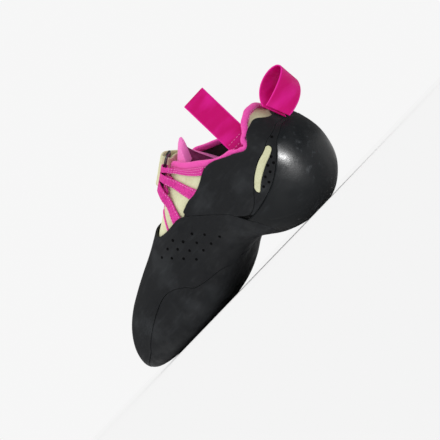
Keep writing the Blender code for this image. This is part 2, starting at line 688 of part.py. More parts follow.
def build_fingers():
    """Three webbing fingers, each folded round the ring's near bar and sewn down at the rubber."""
    centre, ridge, toward, outward = ring_frame()
    bar = (centre + toward * 0.5 * RING_WIDTH, ridge)
    radius = RING_WIRE + FIT_GAP + 0.5 * TAPE
    rest = -(RUBBER + LAYER_GAP - FIT_GAP - 0.5 * TAPE - TAPE_BOW)
    for name, (rows, first_end, second_end) in FINGERS.items():
        ends = zip(rows, (first_end, second_end))
        edges = [even_line((row, RING_BAR_ANGLE), end) for row, end in ends]
        reach = min(length(edge) for edge in edges)
        near = ((0.0085, rest), (0.0045, 0.2 * rest))
        far = ((0.0040, RING_LIFT + 0.75 * radius), (0.0085, 0.0019), (0.0125, 0.3 * rest))
        far += tuple((reach * part, rest) for part in (0.58, 0.72, 0.86, 0.985))
        path = wrap(near, RING_LIFT, radius, far)
        share = np.maximum(path[:, 0], 0) / reach
        t = np.linspace(0, 1, 3)[None, :, None]
        spots = walk(edges[0], share)[:, None] * (1 - t) + walk(edges[1], share)[:, None] * t
        middle = round_bar(point(spots, -path[:, 1][:, None]), path, bar, toward, outward)
        ribbon(name, middle, np.broadcast_to(middle[:, -1:] - middle[:, :1], middle.shape), TAPE, PINK)


def ring_frame():
    """The ring's centre, and its unit vectors along the ridge, toward the big toe's side, and outward."""
    bar = spot(RING_ROW, RING_BAR_ANGLE)
    ridge = surface(spot(RING_ROW + 1.0, RING_BAR_ANGLE)) - surface(spot(RING_ROW - 1.0, RING_BAR_ANGLE))
    ridge /= np.linalg.norm(ridge)
    outward = slopes(spot(RING_ROW, 0.5 * RING_BAR_ANGLE))[2]
    outward -= ridge * outward.dot(ridge)
    outward /= np.linalg.norm(outward)
    toward = np.cross(outward, ridge)
    toward *= -math.copysign(1.0, toward[1])
    centre = point(bar, -RING_LIFT) - toward * 0.5 * RING_WIDTH
    return centre, ridge, toward, outward


def build_ring():
    """The ring: round wire bent to a long link with round corners."""
    centre, ridge, toward, outward = ring_frame()
    half_length, half_width = 0.5 * RING_LENGTH, 0.5 * RING_WIDTH
    path, ahead = [], []
    for quarter, (x, y) in enumerate(((1, 1), (-1, 1), (-1, -1), (1, -1))):
        for step in range(4):
            angle = math.radians(90 * quarter + 30 * step)
            place = ((half_length - RING_CORNER) * x + RING_CORNER * math.cos(angle),
                     (half_width - RING_CORNER) * y + RING_CORNER * math.sin(angle))
            path.append(place)
            ahead.append(angle)
    loops = []
    for (x, y), angle in zip(path, ahead):
        out = ridge * math.cos(angle) + toward * math.sin(angle)
        middle = centre + ridge * x + toward * y
        turn = np.radians(np.arange(0, 360, 60))
        loops.append(middle + RING_WIRE * (np.cos(turn)[:, None] * out + np.sin(turn)[:, None] * outward))
    tube("ring", np.array(loops), STEEL)


def tube(name, loops, finish):
    """A closed ring of round sections."""
    count, around = loops.shape[:2]
    faces = []
    for u in range(count):
        after = (u + 1) % count
        for k in range(around):
            step = (k + 1) % around
            faces.append((u * around + k, after * around + k, after * around + step, u * around + step))
    return solid(name, loops, faces, finish)


def lane(row, angles, width, count=4):
    """Flat places of a band along a row: each line across it is width long."""
    centre = spot(np.full(len(angles), row), angles)
    further = spot(np.full(len(angles), row + 0.2), angles)
    scale = np.linalg.norm(surface(further) - surface(centre), axis=-1) / 0.2
    rows = row + np.linspace(-0.5, 0.5, count)[None, :] * width / scale[:, None]
    return spot(rows, np.repeat(np.array(angles)[:, None], count, axis=1))


def build_strap():
    """The strap: sewn to the little toe's side, through the ring and folded back over itself."""
    centre, ridge, toward, outward = ring_frame()
    bar = (centre - toward * 0.5 * RING_WIDTH, ridge)
    radius = RING_WIRE + FIT_GAP + 0.5 * STRAP
    fine = np.linspace(RING_BAR_ANGLE, STRAP_ANCHOR_ANGLE, 140)
    line = spot(np.full(len(fine), RING_ROW), fine)
    start = np.argmin(np.linalg.norm(surface(line) - (bar[0] - outward * RING_LIFT), axis=-1))
    line, fine = line[start:], fine[start:]
    distance = travelled(line)
    reach = distance[-1]
    rest = -(RUBBER + LAYER_GAP - FIT_GAP - 0.5 * STRAP - TAPE_BOW)
    bead = 0.5 * (BINDING_WIDTH - UPPER_WALL) - RUBBER - LAYER_GAP + FIT_GAP + TAPE_BOW + 0.5 * STRAP
    stack = STRAP + FIT_GAP + TAPE_BOW
    near = [(reach * part, rest) for part in (1.0, 0.9, 0.8)] + [(reach * 0.7, 0.5 * (rest + bead))]
    near += [(reach * part, bead) for part in (0.6, 0.48, 0.36, 0.24, 0.12)]
    far = [(0.12 * reach, RING_LIFT + 0.75 * radius)]
    far += [(reach * part, bead + stack) for part in (0.26, 0.38, 0.5, 0.6)]
    far += [(reach * 0.7, 0.5 * (rest + bead) + stack), (reach * STRAP_FLAP, rest + stack)]
    path = wrap(near, RING_LIFT, radius, far)
    angles = np.interp(np.maximum(path[:, 0], 0), distance, fine)
    spots = lane(RING_ROW, angles, STRAP_WIDTH)
    middle = round_bar(point(spots, -path[:, 1][:, None]), path, bar, -toward, outward)
    ribbon("strap", middle, np.broadcast_to(middle[:, -1:] - middle[:, :1], middle.shape), STRAP, CREAM)


def build_tongue():
    """The tongue: under the throat from its tip, and standing out above the ring."""
    depth = RUBBER + LAYER_GAP + UPPER_WALL + BINDING_WIDTH * 0.5 + FIT_GAP
    angles = np.linspace(*TONGUE_ANGLES, 9)
    rows = np.linspace(*TONGUE_ROWS, 7)
    spots = spot(rows[:, None], np.repeat(angles[None], len(rows), axis=0))
    outer, inner = point(spots, depth), point(spots, depth + TONGUE_WALL)
    lift = surface(spot(TONGUE_ROWS[1] + 0.3, 0)) - surface(spot(TONGUE_ROWS[1] - 1.2, 0))
    lift /= np.linalg.norm(lift)
    centre = 0.5 * (outer[-1, 0, 1] + outer[-1, -1, 1])
    step = np.array((0.25, 0.5, 0.75, 0.92, 1.0))
    narrow = 1 - TONGUE_TAPER * step - TONGUE_ROUND * np.maximum(0.0, step - 0.75) / 0.25
    top = np.array(TONGUE_TOP)[:, None]
    grids = []
    for grid in (outer, inner):
        rise = grid[-1][None] + lift * TONGUE_RISE * step[:, None, None] * top[None]
        rise[..., 1] = centre + (grid[-1][None, :, 1] - centre) * narrow[:, None]
        grids.append(np.concatenate([grid, rise]))
    shell("tongue", *grids, PINK)


def build_medial_loop():
    """The pull loop of ribbon inside the collar on the big toe's side: a flat fold standing up."""
    across = np.linspace(-0.5, 0.5, 2) * PULL_WIDTH
    bead_depth = RUBBER + LAYER_GAP + 0.5 * (UPPER_WALL + BINDING_WIDTH)
    front, rear = (point(spot(*place), bead_depth + PULL_CLEARANCE) for place in PULL_ENDS)
    along = (rear - front) * (1, 1, 0)
    along /= np.linalg.norm(along)
    inward = np.array([-along[1], along[0], 0.0])
    inward *= math.copysign(1.0, inward[1])
    base = 0.5 * (front + rear) - np.array([0, 0, PULL_SEAT])
    height = PULL_HEIGHT + PULL_SEAT
    path = [(0.0, 0.0), (0.0, 0.5 * height), (0.0, height)]
    for angle in np.radians((135, 90, 45)):
        path.append((PULL_FOLD * (1 + math.cos(angle)), height + PULL_FOLD * math.sin(angle)))
    path += [(2 * PULL_FOLD, height), (2 * PULL_FOLD, 0.5 * height), (2 * PULL_FOLD, 0.1 * height)]
    rise = np.array([0, 0, 1.0]) + inward * PULL_TILT
    lines = [[base + along * w + inward * x + rise * z for w in across] for x, z in path]
    ribbon("pull_loop_medial", np.array(lines), np.ones((len(path), 2, 3)) * along, RIBBON, PINK_RIBBON)


def build_rear_loop():
    """The loop behind the heel: sewn along the heel's middle line, and fallen to the little toe's side."""
    high, low = (point(spot(row, 180), -REAR_LOOP_LIFT) for row in REAR_LOOP_ROWS)
    way = np.array(REAR_LOOP_WAY) / np.linalg.norm(REAR_LOOP_WAY)
    sewn = (low - high) / np.linalg.norm(low - high)
    tip = np.cross(np.cross(way, REAR_LOOP_SIDE), way)
    tip /= np.linalg.norm(tip)
    breadth = np.cross(way, tip)
    around = np.linspace(REAR_LOOP_START, 1 - REAR_LOOP_START, 17) * 2 * math.pi
    away = 0.5 * REAR_LOOP_LENGTH * (math.cos(around[0]) - np.cos(around))
    aside_way = 0.575 * REAR_LOOP_DEPTH * np.sin(around) * np.sin(0.5 * around) ** REAR_LOOP_FULLNESS
    middle = 0.5 * (high + low) + way * away[:, None] + breadth * aside_way[:, None]
    share = np.sin(0.5 * around)[:, None] ** 2
    side = sewn * (1 - share) + tip * share
    side /= np.linalg.norm(side, axis=-1, keepdims=True)
    across = np.array((-0.5, 0.0, 0.5))[:, None] * PULL_WIDTH
    lines = middle[:, None] + side[:, None] * across
    ribbon("pull_loop_rear", lines, np.broadcast_to(side[:, None], lines.shape), RIBBON, PINK_RIBBON)


def main():
    """Build the whole shoe in an empty scene."""
    for thing in list(bpy.data.objects):
        bpy.data.objects.remove(thing)
    seams = Seams()
    build_outsole(seams)
    build_rubber(seams)
    build_upper()
    build_insole()
    build_tongue()
    build_ring()
    build_fingers()
    build_strap()
    build_medial_loop()
    build_rear_loop()


main()
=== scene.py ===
"""Looks of a climbing shoe for the right foot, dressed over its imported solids.

Metres, +Z up, toe along -X, big toe's side -Y. Every piece is an area of the last between two depths. The
last is a fan of sections: row 0 is the toe's tip and row 23 the ankle, and in a row the angle goes round
the section (0 ridge, 90 big toe's side, 180 sole, 270 little toe's side). A flat place of the last is
(row * cos(angle), row * sin(angle)).
"""

import logging
import math
from dataclasses import dataclass, field
from enum import Enum

import bpy
import numpy as np
from mathutils import Matrix, Vector


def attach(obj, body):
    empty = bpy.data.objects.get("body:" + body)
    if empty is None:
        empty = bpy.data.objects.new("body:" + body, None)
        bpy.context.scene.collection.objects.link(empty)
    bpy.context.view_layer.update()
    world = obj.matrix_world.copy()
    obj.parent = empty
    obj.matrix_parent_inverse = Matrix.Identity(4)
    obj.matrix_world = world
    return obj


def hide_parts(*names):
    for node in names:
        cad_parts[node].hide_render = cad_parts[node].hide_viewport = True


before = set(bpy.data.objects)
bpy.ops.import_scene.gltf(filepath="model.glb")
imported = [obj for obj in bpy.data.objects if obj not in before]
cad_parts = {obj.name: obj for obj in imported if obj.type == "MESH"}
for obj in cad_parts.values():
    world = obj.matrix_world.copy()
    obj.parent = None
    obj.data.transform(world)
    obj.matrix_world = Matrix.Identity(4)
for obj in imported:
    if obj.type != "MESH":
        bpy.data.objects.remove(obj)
LOG = logging.getLogger("climbing_shoe")
Array = np.ndarray
Place = tuple[float, float]
Thing = bpy.types.Object
Socket = bpy.types.NodeSocket

LENGTH, BALL_WIDTH, HEEL_WIDTH, INSTEP_HEIGHT, HEEL_HEIGHT = 0.228, 0.0815, 0.061, 0.100, 0.074
RUBBER, SOLE_EXTRA, UPPER_WALL, INSOLE_WALL, TONGUE_WALL = 0.0015, 0.0020, 0.0016, 0.0022, 0.0022
LAYER_GAP, SEAM_GAP, FIT_GAP = 0.0009, 0.00009, 0.0003
BINDING_WIDTH, BINDING_HEIGHT = 0.0030, 0.0032
# Sections of the fore part: x as shares of LENGTH, z as shares of INSTEP_HEIGHT, the axis and the two
# half widths as shares of BALL_WIDTH, the height of the widest place as a share of the section, and
# how square each quarter of the section is (2 is an ellipse)
SECTION_COLUMNS = (
    "sole_x", "sole_z", "ridge_x", "ridge_z", "axis_y", "medial", "lateral", "widest",
    "medial_top", "lateral_top", "medial_sole", "lateral_sole",
)
FORE_SECTIONS = (
    (-0.831, 0.140, -0.831, 0.140, -0.196, 0.000, 0.000, 0.45, 2.0, 2.0, 2.0, 2.0),
    (-0.824, 0.074, -0.821, 0.210, -0.196, 0.117, 0.129, 0.45, 2.0, 2.0, 2.1, 2.1),
    (-0.805, 0.036, -0.792, 0.315, -0.190, 0.190, 0.245, 0.42, 2.1, 2.0, 2.4, 2.4),
    (-0.772, 0.016, -0.748, 0.405, -0.172, 0.252, 0.356, 0.38, 2.2, 2.0, 2.7, 2.8),
    (-0.724, 0.003, -0.689, 0.480, -0.153, 0.307, 0.436, 0.34, 2.3, 1.9, 3.0, 3.2),
    (-0.662, -0.006, -0.623, 0.535, -0.129, 0.362, 0.503, 0.32, 2.4, 1.8, 3.2, 3.6),
    (-0.592, -0.008, -0.553, 0.590, -0.104, 0.405, 0.558, 0.31, 2.4, 1.8, 3.3, 3.8),
    (-0.522, -0.006, -0.487, 0.640, -0.086, 0.411, 0.589, 0.31, 2.4, 1.8, 3.3, 3.8),
    (-0.452, 0.014, -0.428, 0.700, -0.074, 0.387, 0.589, 0.31, 2.3, 1.8, 3.2, 3.6),
    (-0.386, 0.056, -0.377, 0.755, -0.061, 0.356, 0.564, 0.32, 2.3, 1.8, 3.0, 3.4),
    (-0.320, 0.114, -0.336, 0.805, -0.049, 0.331, 0.528, 0.33, 2.2, 1.9, 2.8, 3.2),
    (-0.259, 0.152, -0.300, 0.850, -0.037, 0.325, 0.491, 0.34, 2.2, 1.9, 2.6, 3.0),
    (-0.202, 0.158, -0.272, 0.885, -0.025, 0.331, 0.454, 0.35, 2.1, 1.9, 2.5, 2.8),
)
# Sections of the heel: as above, but sole_z as shares of HEEL_HEIGHT and the widths of HEEL_WIDTH
HEEL_SECTIONS = (
    (-0.149, 0.154, -0.250, 0.915, -0.016, 0.459, 0.566, 0.36, 2.1, 2.0, 2.4, 2.6),
    (-0.088, 0.042, -0.232, 0.940, -0.008, 0.475, 0.541, 0.36, 2.1, 2.0, 2.4, 2.5),
    (-0.013, -0.010, -0.219, 0.960, 0.000, 0.492, 0.525, 0.36, 2.1, 2.1, 2.5, 2.5),
    (0.061, 0.024, -0.208, 0.975, 0.000, 0.500, 0.516, 0.36, 2.1, 2.1, 2.4, 2.4),
    (0.123, 0.169, -0.200, 0.985, 0.000, 0.500, 0.508, 0.36, 2.1, 2.1, 2.4, 2.4),
    (0.151, 0.392, -0.193, 0.993, 0.000, 0.492, 0.500, 0.36, 2.1, 2.1, 2.4, 2.4),
    (0.145, 0.622, -0.188, 1.000, 0.000, 0.475, 0.484, 0.38, 2.1, 2.1, 2.3, 2.3),
    (0.116, 0.824, -0.183, 1.006, 0.000, 0.451, 0.459, 0.42, 2.1, 2.1, 2.2, 2.2),
    (0.096, 1.000, -0.180, 1.012, 0.000, 0.426, 0.434, 0.46, 2.1, 2.1, 2.2, 2.2),
    (0.088, 1.162, -0.177, 1.018, 0.000, 0.418, 0.426, 0.50, 2.1, 2.1, 2.2, 2.2),
    (0.083, 1.311, -0.175, 1.023, 0.000, 0.418, 0.426, 0.50, 2.1, 2.1, 2.2, 2.2),
)

# Seam lines, each a short table of places (row, angle) on the form
OUTSOLE_TIP = (1.35, 180)
OUTSOLE_EDGE = (
    (10.9, 160), (10.22, 132), (9.4, 108), (8.4, 88), (7.45, 77), (6.1, 77), (5.0, 83), (3.9, 92),
    (2.7, 107), (1.7, 133), OUTSOLE_TIP, (1.7, 225), (2.7, 248), (4.2, 259), (6.0, 262), (8.0, 259),
    (9.4, 244), (10.22, 224), (10.9, 200),
)
PATCH_TAIL = ((10.9, 160), (11.7, 163), (13.0, 153), (14.25, 136))
PATCH_TOP = (
    (14.4, 99), (14.3, 91), (13.55, 84), (12.55, 78), (11.35, 66), (9.85, 54), (8.75, 41), (8.3, 20),
    (8.2, 0), (8.4, -20), (8.9, -42), (9.9, -62), (11.2, -78), (12.8, -88), (14.4, -99),
)
CUP_FRONT = ((14.4, 99), (14.5, 112), (14.4, 124), (14.25, 136))
CUP_SOLE = ((14.25, 136), (14.55, 158), (14.65, 180), (14.55, 202), (14.25, 224))
CUP_TOP = (
    (14.4, 99), (15.0, 98.5), (15.9, 100), (16.9, 107), (17.65, 116), (18.25, 127), (18.85, 143),
    (19.25, 161), (19.4, 180),
)
HEEL_LINE = (
    (14.75, 96.4), (15.3, 95.0), (15.95, 92.6), (16.5, 91.6), (17.45, 95.5), (18.2, 109), (18.9, 131),
    (19.3, 152),
)
BAND_FRONT = ((14.3, 91), (11.6, 69))
BAND_SOLE = HEEL_LINE + ((19.55, 167), (19.6, 180))
RUBBER_TOP = (
    (11.75, 64.5), (13.3, 63.2), (15.3, 61), (16.9, 63), (17.7, 70), (18.35, 86), (18.62, 100),
    (19.2, 115), (19.95, 136), (20.3, 153), (20.1, 168), (20.0, 180),
)
INSERT_ENDS = ((15.15, 96.5), (19.3, 154))
SLOT_ENDS = (0.27, 0.80)
CRESCENT_TIPS = ((14.8, 97.2), (19.5, 180))
COLLAR = (
    (15.0, 21), (16.4, 38), (17.65, 62), (18.5, 84), (18.82, 100), (19.4, 114), (20.2, 135),
    (20.85, 153), (21.15, 168), (21.2, 180),
)
THROAT_MEDIAL = ((9.3, -2), (9.5, 7), (10.2, 12), (12.0, 14), (14.0, 16.5))
THROAT_LATERAL = ((9.3, -2), (9.5, -12), (10.2, -19), (12.0, -22), (14.0, -23), (15.0, -26))
MARGIN = (
    (1.9, 180), (2.4, 150), (4.0, 134), (7.0, 130), (10.0, 134), (12.5, 142), (14.5, 146),
    (16.0, 158), (16.5, 180),
)
# Finger webbings: the rows of their two edges at the ring, and the place of each edge at the rubber
FINGERS = {
    "finger_lower": ((11.1, 12.0), (10.16, 60.5), (11.1, 66.0)),
    "finger_middle": ((12.1, 13.0), (13.22, 66.0), (14.7, 65.5)),
    "finger_top": ((13.1, 14.0), (16.28, 62.0), (17.08, 63.5)),
}
RING_ROW = 12.55
RING_BAR_ANGLE = 20.0
STRAP_ANCHOR_ANGLE = -59.0
PULL_ENDS = ((18.5, 84), (20.4, 145))
REAR_LOOP_ROWS = (20.7, 19.2)
TONGUE_ROWS = (8.5, 14.6)
TONGUE_ANGLES = (-52.0, 44.0)
# How high the tongue's top edge stands, as shares of its rise, from the little toe's side
TONGUE_TOP = (0.10, 0.12, 0.16, 0.28, 0.48, 0.72, 0.88, 0.86, 0.50)

# Folds of the cream: row, angle, width in rows, spread in degrees, height in metres
CREASES = (
    (12.6, 48, 0.16, 9, -0.0004), (13.4, 50, 0.20, 8, 0.0003), (11.2, 40, 0.16, 8, -0.0004),
    (14.8, 48, 0.2, 10, -0.0003), (11.4, -42, 0.18, 12, -0.0004), (14.2, -46, 0.22, 12, -0.0004),
)
# How the tongue's free part narrows: shares of its rise, and of its width there
TONGUE_TAPER = ((0, 0.25, 0.5, 0.75, 0.92, 1.0), (1, 0.975, 0.95, 0.925, 0.76, 0.68))
# The bound edge's outline: shares of its height, and of its width to the side
BEAD_OUTLINE = (
    (-0.26, -0.40), (-0.22, -0.46), (0.2, -0.5), (0.5, -0.5), (0.78, -0.42), (0.95, -0.24), (1.0, 0.0),
    (0.95, 0.24), (0.78, 0.42), (0.5, 0.5), (0.2, 0.5), (-0.22, 0.46), (-0.26, 0.40),
)

# Lines pressed into the rubber and sewn on the cream
TAIL_STEP = ((9.9, 74), (11.3, 86), (13.0, 103), (14.2, 128))
CUP_GROOVE = ((14.9, 113), (15.15, 124), (15.5, 133), (16.1, 142))
VAMP_SEAM = ((9.75, 22), (9.7, 33), (9.6, 46), (9.55, 52))
# Which shares of the patch's two long sides face each other, up to the toe and past its lip and corner
PATCH_CORNER_SHARE = 0.018
PATCH_SLIDE = ((0.25, 0.20), (0.375, 0.41), (0.5, 0.5))

# Middles of the punched holes, as (row, angle)
PATCH_HOLES = (
    (10.95, 80), (11.5, 89), (12.0, 103), (9.6, 63), (10.1, 74), (10.7, 86), (11.25, 98), (8.95, 60),
    (9.5, 71), (10.0, 82), (10.6, 92), (8.3, 56), (8.85, 68), (9.4, 79), (9.9, 89), (9.5, -74),
    (10.2, -84), (10.9, -92), (9.0, -70), (8.6, -82), (10.3, -98),
)
CRESCENT_HOLES = (
    (18.1, 118), (17.8, 116), (17.7, 109), (17.4, 108), (17.15, 102), (16.9, 104), (16.65, 99), (19.0, 140),
)

# Steps on the flat plan: the half width of a slope, and the real reach along a seam that gives its way
FLAT_STEP = 0.04
WAY_REACH = 0.0006
# How deep the grain of a finish is
GRAIN_DEPTH = 0.00015
# Hand-laid rubber isn't quite even: wave vectors in radians a metre, and each wave's share of the height
RIPPLE_HEIGHT = 0.00005
RIPPLE_WAVES = (
    (95, 60, 40, 1.0), (40, -130, 70, 0.8), (-150, 50, 160, 0.55), (230, 170, -90, 0.35), (60, 20, 300, 0.3),
)


def smooth_step(value: Array) -> Array:
    """Cubic ease from 0 to 1."""
    share = np.clip(value, 0, 1)
    return share**2 * (3 - 2 * share)


def travelled(path: Array) -> Array:
    """The distance along a path of points, at each of them."""
    return np.concatenate([[0], np.cumsum(span(np.diff(path, axis=0)))])


def span(vectors: Array) -> Array:
    """The length of each vector."""
    return np.linalg.norm(vectors, axis=-1)


def unit(vectors: Array) -> Array:
    """The same vectors, one long."""
    return vectors / np.linalg.norm(vectors, axis=-1, keepdims=True)


class Last:
    """The form of the foot: smooth sections read as one surface over a flat plan."""

    @staticmethod
    def cubic(points: Array, places: Array) -> Array:
        """A Catmull-Rom curve: four neighbours blended by cubic weights at fractional indices.

        Args:
            points: the knots, one a row.
            places: fractional indices into them.

        Returns:
            The curve's values at those indices.
        """
        points = np.asarray(points, float)
        padded = np.concatenate([[2 * points[0] - points[1]], points, [2 * points[-1] - points[-2]]])
        index = np.clip(np.floor(places).astype(int), 0, len(points) - 2)
        share = (places - index).reshape(np.shape(places) + (1,) * (points.ndim - 1))
        before, start, end, after = (padded[index + step] for step in range(4))
        return 0.5 * (
            2 * start + (end - before) * share
            + (2 * before - 5 * start + 4 * end - after) * share**2
            + (3 * start - before - 3 * end + after) * share**3
        )

    @staticmethod
    def sizes() -> Array:
        """Every section's sizes in metres: shares times the overall sizes.

        Returns:
            One section a row, after a mirrored one that carries the form on past the tip.
        """
        fore, heel = np.array(FORE_SECTIONS), np.array(HEEL_SECTIONS)
        fore[:, [0, 2]] *= LENGTH
        heel[:, [0, 2]] *= LENGTH
        fore[:, [1, 3]] *= INSTEP_HEIGHT
        heel[:, 1] *= HEEL_HEIGHT
        heel[:, 3] *= INSTEP_HEIGHT
        fore[:, 4:7] *= BALL_WIDTH
        heel[:, 4:7] *= HEEL_WIDTH
        rows = np.vstack([fore, heel])
        mirrored = rows[1].copy()
        mirrored[[0, 1, 2, 3]] = rows[1][[2, 3, 0, 1]]
        mirrored[5:7] *= -1
        return np.vstack([mirrored, rows])

    @staticmethod
    def surface(spots: Array) -> Array:
        """Points of the outer form: each quarter of a section is a superellipse round its widest place.

        Args:
            spots: flat places (row * cos(angle), row * sin(angle)).

        Returns:
            Points in metres.
        """
        row = np.hypot(spots[..., 0], spots[..., 1])
        angle = np.arctan2(spots[..., 1], spots[..., 0])
        sizes = Last.cubic(SIZES, row + 1)
        named = {name: sizes[..., column] for column, name in enumerate(SECTION_COLUMNS)}
        along, across = np.cos(angle), np.sin(angle)
        medial, upper = across >= 0, along >= 0
        top = np.where(medial, named["medial_top"], named["lateral_top"])
        sole = np.where(medial, named["medial_sole"], named["lateral_sole"])
        power = 2 / np.where(upper, top, sole)
        along = np.sign(along) * np.abs(along) ** power
        across = np.sign(across) * np.abs(across) ** power
        reach = np.where(upper, 1 - named["widest"], named["widest"])
        share = named["widest"] + along * reach
        x = named["sole_x"] + share * (named["ridge_x"] - named["sole_x"])
        z = named["sole_z"] + share * (named["ridge_z"] - named["sole_z"])
        y = named["axis_y"] - across * np.where(medial, named["medial"], named["lateral"])
        return np.stack([x, y, z], -1)

    @staticmethod
    def slopes(spots: Array) -> tuple[Array, Array, Array]:
        """Unit vectors along the flat plan's two directions, by central differences.

        Args:
            spots: flat places.

        Returns:
            The two vectors and the outward normal, which is square to both.
        """
        right, up = np.array([FLAT_STEP, 0.0]), np.array([0.0, FLAT_STEP])
        first = Last.surface(spots + right) - Last.surface(spots - right)
        second = Last.surface(spots + up) - Last.surface(spots - up)
        normal = np.cross(second, first)
        return unit(first), unit(second), unit(normal)

    @staticmethod
    def point(spots: Array, depth: Array | float, floor: bool = False) -> Array:
        """Points at a depth under the form, along its normal.

        Args:
            spots: flat places.
            depth: how far in, in metres; a negative depth stands out.
            floor: whether to keep the points on or above the ground.

        Returns:
            Points in metres.
        """
        spots = np.asarray(spots, float)
        depth = np.broadcast_to(depth, spots.shape[:-1])
        places = Last.surface(spots) - Last.slopes(spots)[2] * depth[..., None]
        if floor:
            places[..., 2] = np.maximum(places[..., 2], 0.0)
        return places

    @staticmethod
    def spot(row: Array | float, angle: Array | float) -> Array:
        """Flat place of a row and an angle in degrees."""
        turn = np.radians(angle)
        return np.stack([row * np.cos(turn), row * np.sin(turn)], -1)

    @staticmethod
    def sole_extra(spots: Array) -> Array:
        """How much deeper the inner layers lie under the foot: a smooth step of the angle, 100 to 145."""
        return SOLE_EXTRA * smooth_step((np.abs(Last.angle(spots)) - 100) / 45)

    @staticmethod
    def angle(spots: Array) -> Array:
        """The angle of flat places in degrees, from -180 to 180."""
        return np.degrees(np.arctan2(spots[..., 1], spots[..., 0]))


class Line:
    """Tools for seams: each seam is an array of flat places."""

    @staticmethod
    def seam(table: tuple[Place, ...], samples: int = 12) -> Array:
        """A natural cubic spline through a table of (row, angle), with real chord lengths as its steps.

        Args:
            table: the places that the seam passes through.
            samples: how many places to make between two of them.

        Returns:
            The seam's flat places.
        """
        rows = np.array(table, float)
        knots = Last.spot(rows[:, 0], rows[:, 1])
        gaps = span(np.diff(Last.surface(knots), axis=0))
        count = len(knots)
        system, load = np.eye(count), np.zeros((count, 2))
        for index in range(1, count - 1):
            before, after = gaps[index - 1], gaps[index]
            system[index, index - 1:index + 2] = before, 2 * (before + after), after
            rise_after = (knots[index + 1] - knots[index]) / after
            load[index] = 6 * (rise_after - (knots[index] - knots[index - 1]) / before)
        bend = np.linalg.solve(system, load)
        places = [knots[:1]]
        for index, gap in enumerate(gaps):
            t = np.linspace(0, 1, samples + 1)[1:, None]
            line = knots[index] * (1 - t) + knots[index + 1] * t
            bow = ((1 - t) ** 3 - (1 - t)) * bend[index] + (t**3 - t) * bend[index + 1]
            places.append(line + bow * gap**2 / 6)
        return np.concatenate(places)

    @staticmethod
    def both_sides(table: tuple[Place, ...]) -> tuple[Place, ...]:
        """A table that ends at the heel's middle, carried on round the little toe's side."""
        return tuple(table) + tuple((row, 360 - angle) for row, angle in reversed(table[:-1]))

    @staticmethod
    def other_side(line: Array) -> Array:
        """The same seam on the little toe's side, in the opposite order."""
        return line[::-1] * (1, -1)

    @staticmethod
    def joined(*lines: Array) -> Array:
        """One seam from several that meet end to end."""
        return np.concatenate([lines[0]] + [line[1:] for line in lines[1:]])

    @staticmethod
    def travelled(line: Array) -> Array:
        """The real distance along a seam, at each of its places."""
        return travelled(Last.surface(line))

    @staticmethod
    def length(line: Array) -> float:
        """The real length of a seam."""
        return float(Line.travelled(line)[-1])

    @staticmethod
    def walk(line: Array, along: Array) -> Array:
        """Flat places at shares of a seam's real length, by linear interpolation.

        Args:
            line: the seam.
            along: the shares, from 0 to 1.

        Returns:
            One flat place a share.
        """
        distance = Line.travelled(line)
        wanted = np.asarray(along) * distance[-1]
        return np.stack([np.interp(wanted, distance, line[:, column]) for column in range(2)], -1)

    @staticmethod
    def straight(first: Array, last: Array) -> Array:
        """A straight seam between two flat places."""
        return np.linspace(first, last, 12)

    @staticmethod
    def stretch(line: Array, first: Place, last: Place) -> Array:
        """The part of a seam between the places nearest to two given ones.

        Args:
            line: the seam.
            first: the (row, angle) where the part starts.
            last: the (row, angle) where it ends.

        Returns:
            The part's flat places.
        """
        start, end = (np.argmin(span(line - Last.spot(*place))) for place in (first, last))
        return line[start:end + 1]

    @staticmethod
    def aside(places: Array, way: Array, target: Array, distance: Array | float) -> Array:
        """Flat places moved a real distance over the form, square to their way, toward a target's side.

        The move is turned into flat steps by the form's two slopes, as a least-squares solution.

        Args:
            places: the flat places.
            way: the flat direction of the line they are on.
            target: flat places on the side to move to; no move is over a fifth of the way there.
            distance: how far to move, in metres.

        Returns:
            The moved flat places.
        """
        step = FLAT_STEP
        first = (Last.surface(places + (step, 0)) - Last.surface(places - (step, 0))) / (2 * step)
        second = (Last.surface(places + (0, step)) - Last.surface(places - (0, step))) / (2 * step)
        chord = target - places
        side = np.sign((way[:, 0] * chord[:, 1] - way[:, 1] * chord[:, 0]).sum())
        ahead = first * way[:, :1] + second * way[:, 1:]
        move = unit(np.cross(ahead, Last.slopes(places)[2]) * side)
        room = np.linalg.norm(Last.surface(target) - Last.surface(places), axis=-1, keepdims=True)
        move *= np.minimum(np.reshape(distance, (-1, 1)) if np.ndim(distance) else distance, 0.2 * room)
        base = np.stack([first, second], -1)
        normal_form = np.einsum("nij,nik->njk", base, base)
        return places + np.linalg.solve(normal_form, np.einsum("nij,ni->nj", base, move)[..., None])[..., 0]

    @staticmethod
    def beside(line: Array, along: Array, other: Array, other_along: Array) -> Array:
        """Places of a seam, moved off it by the seam's clearance toward another seam.

        Args:
            line: the seam.
            along: shares of its length.
            other: the seam to move toward.
            other_along: shares of that seam's length, which face the first ones.

        Returns:
            The moved flat places.
        """
        reach = WAY_REACH / Line.length(line)
        before, after = (Line.walk(line, np.clip(along + step, 0, 1)) for step in (-reach, reach))
        return Line.aside(Line.walk(line, along), after - before, Line.walk(other, other_along), SEAM_GAP)

    @staticmethod
    def real_width(first: Array, second: Array) -> Array:
        """The real length of the flat line from each place of one seam to the same place of another.

        Args:
            first: places of one seam.
            second: as many places of the other.

        Returns:
            One length a place, in metres.
        """
        steps = np.linspace(0, 1, 9)[:, None, None]
        places = Last.surface(first * (1 - steps) + second * steps)
        return span(np.diff(places, axis=0)).sum(0)

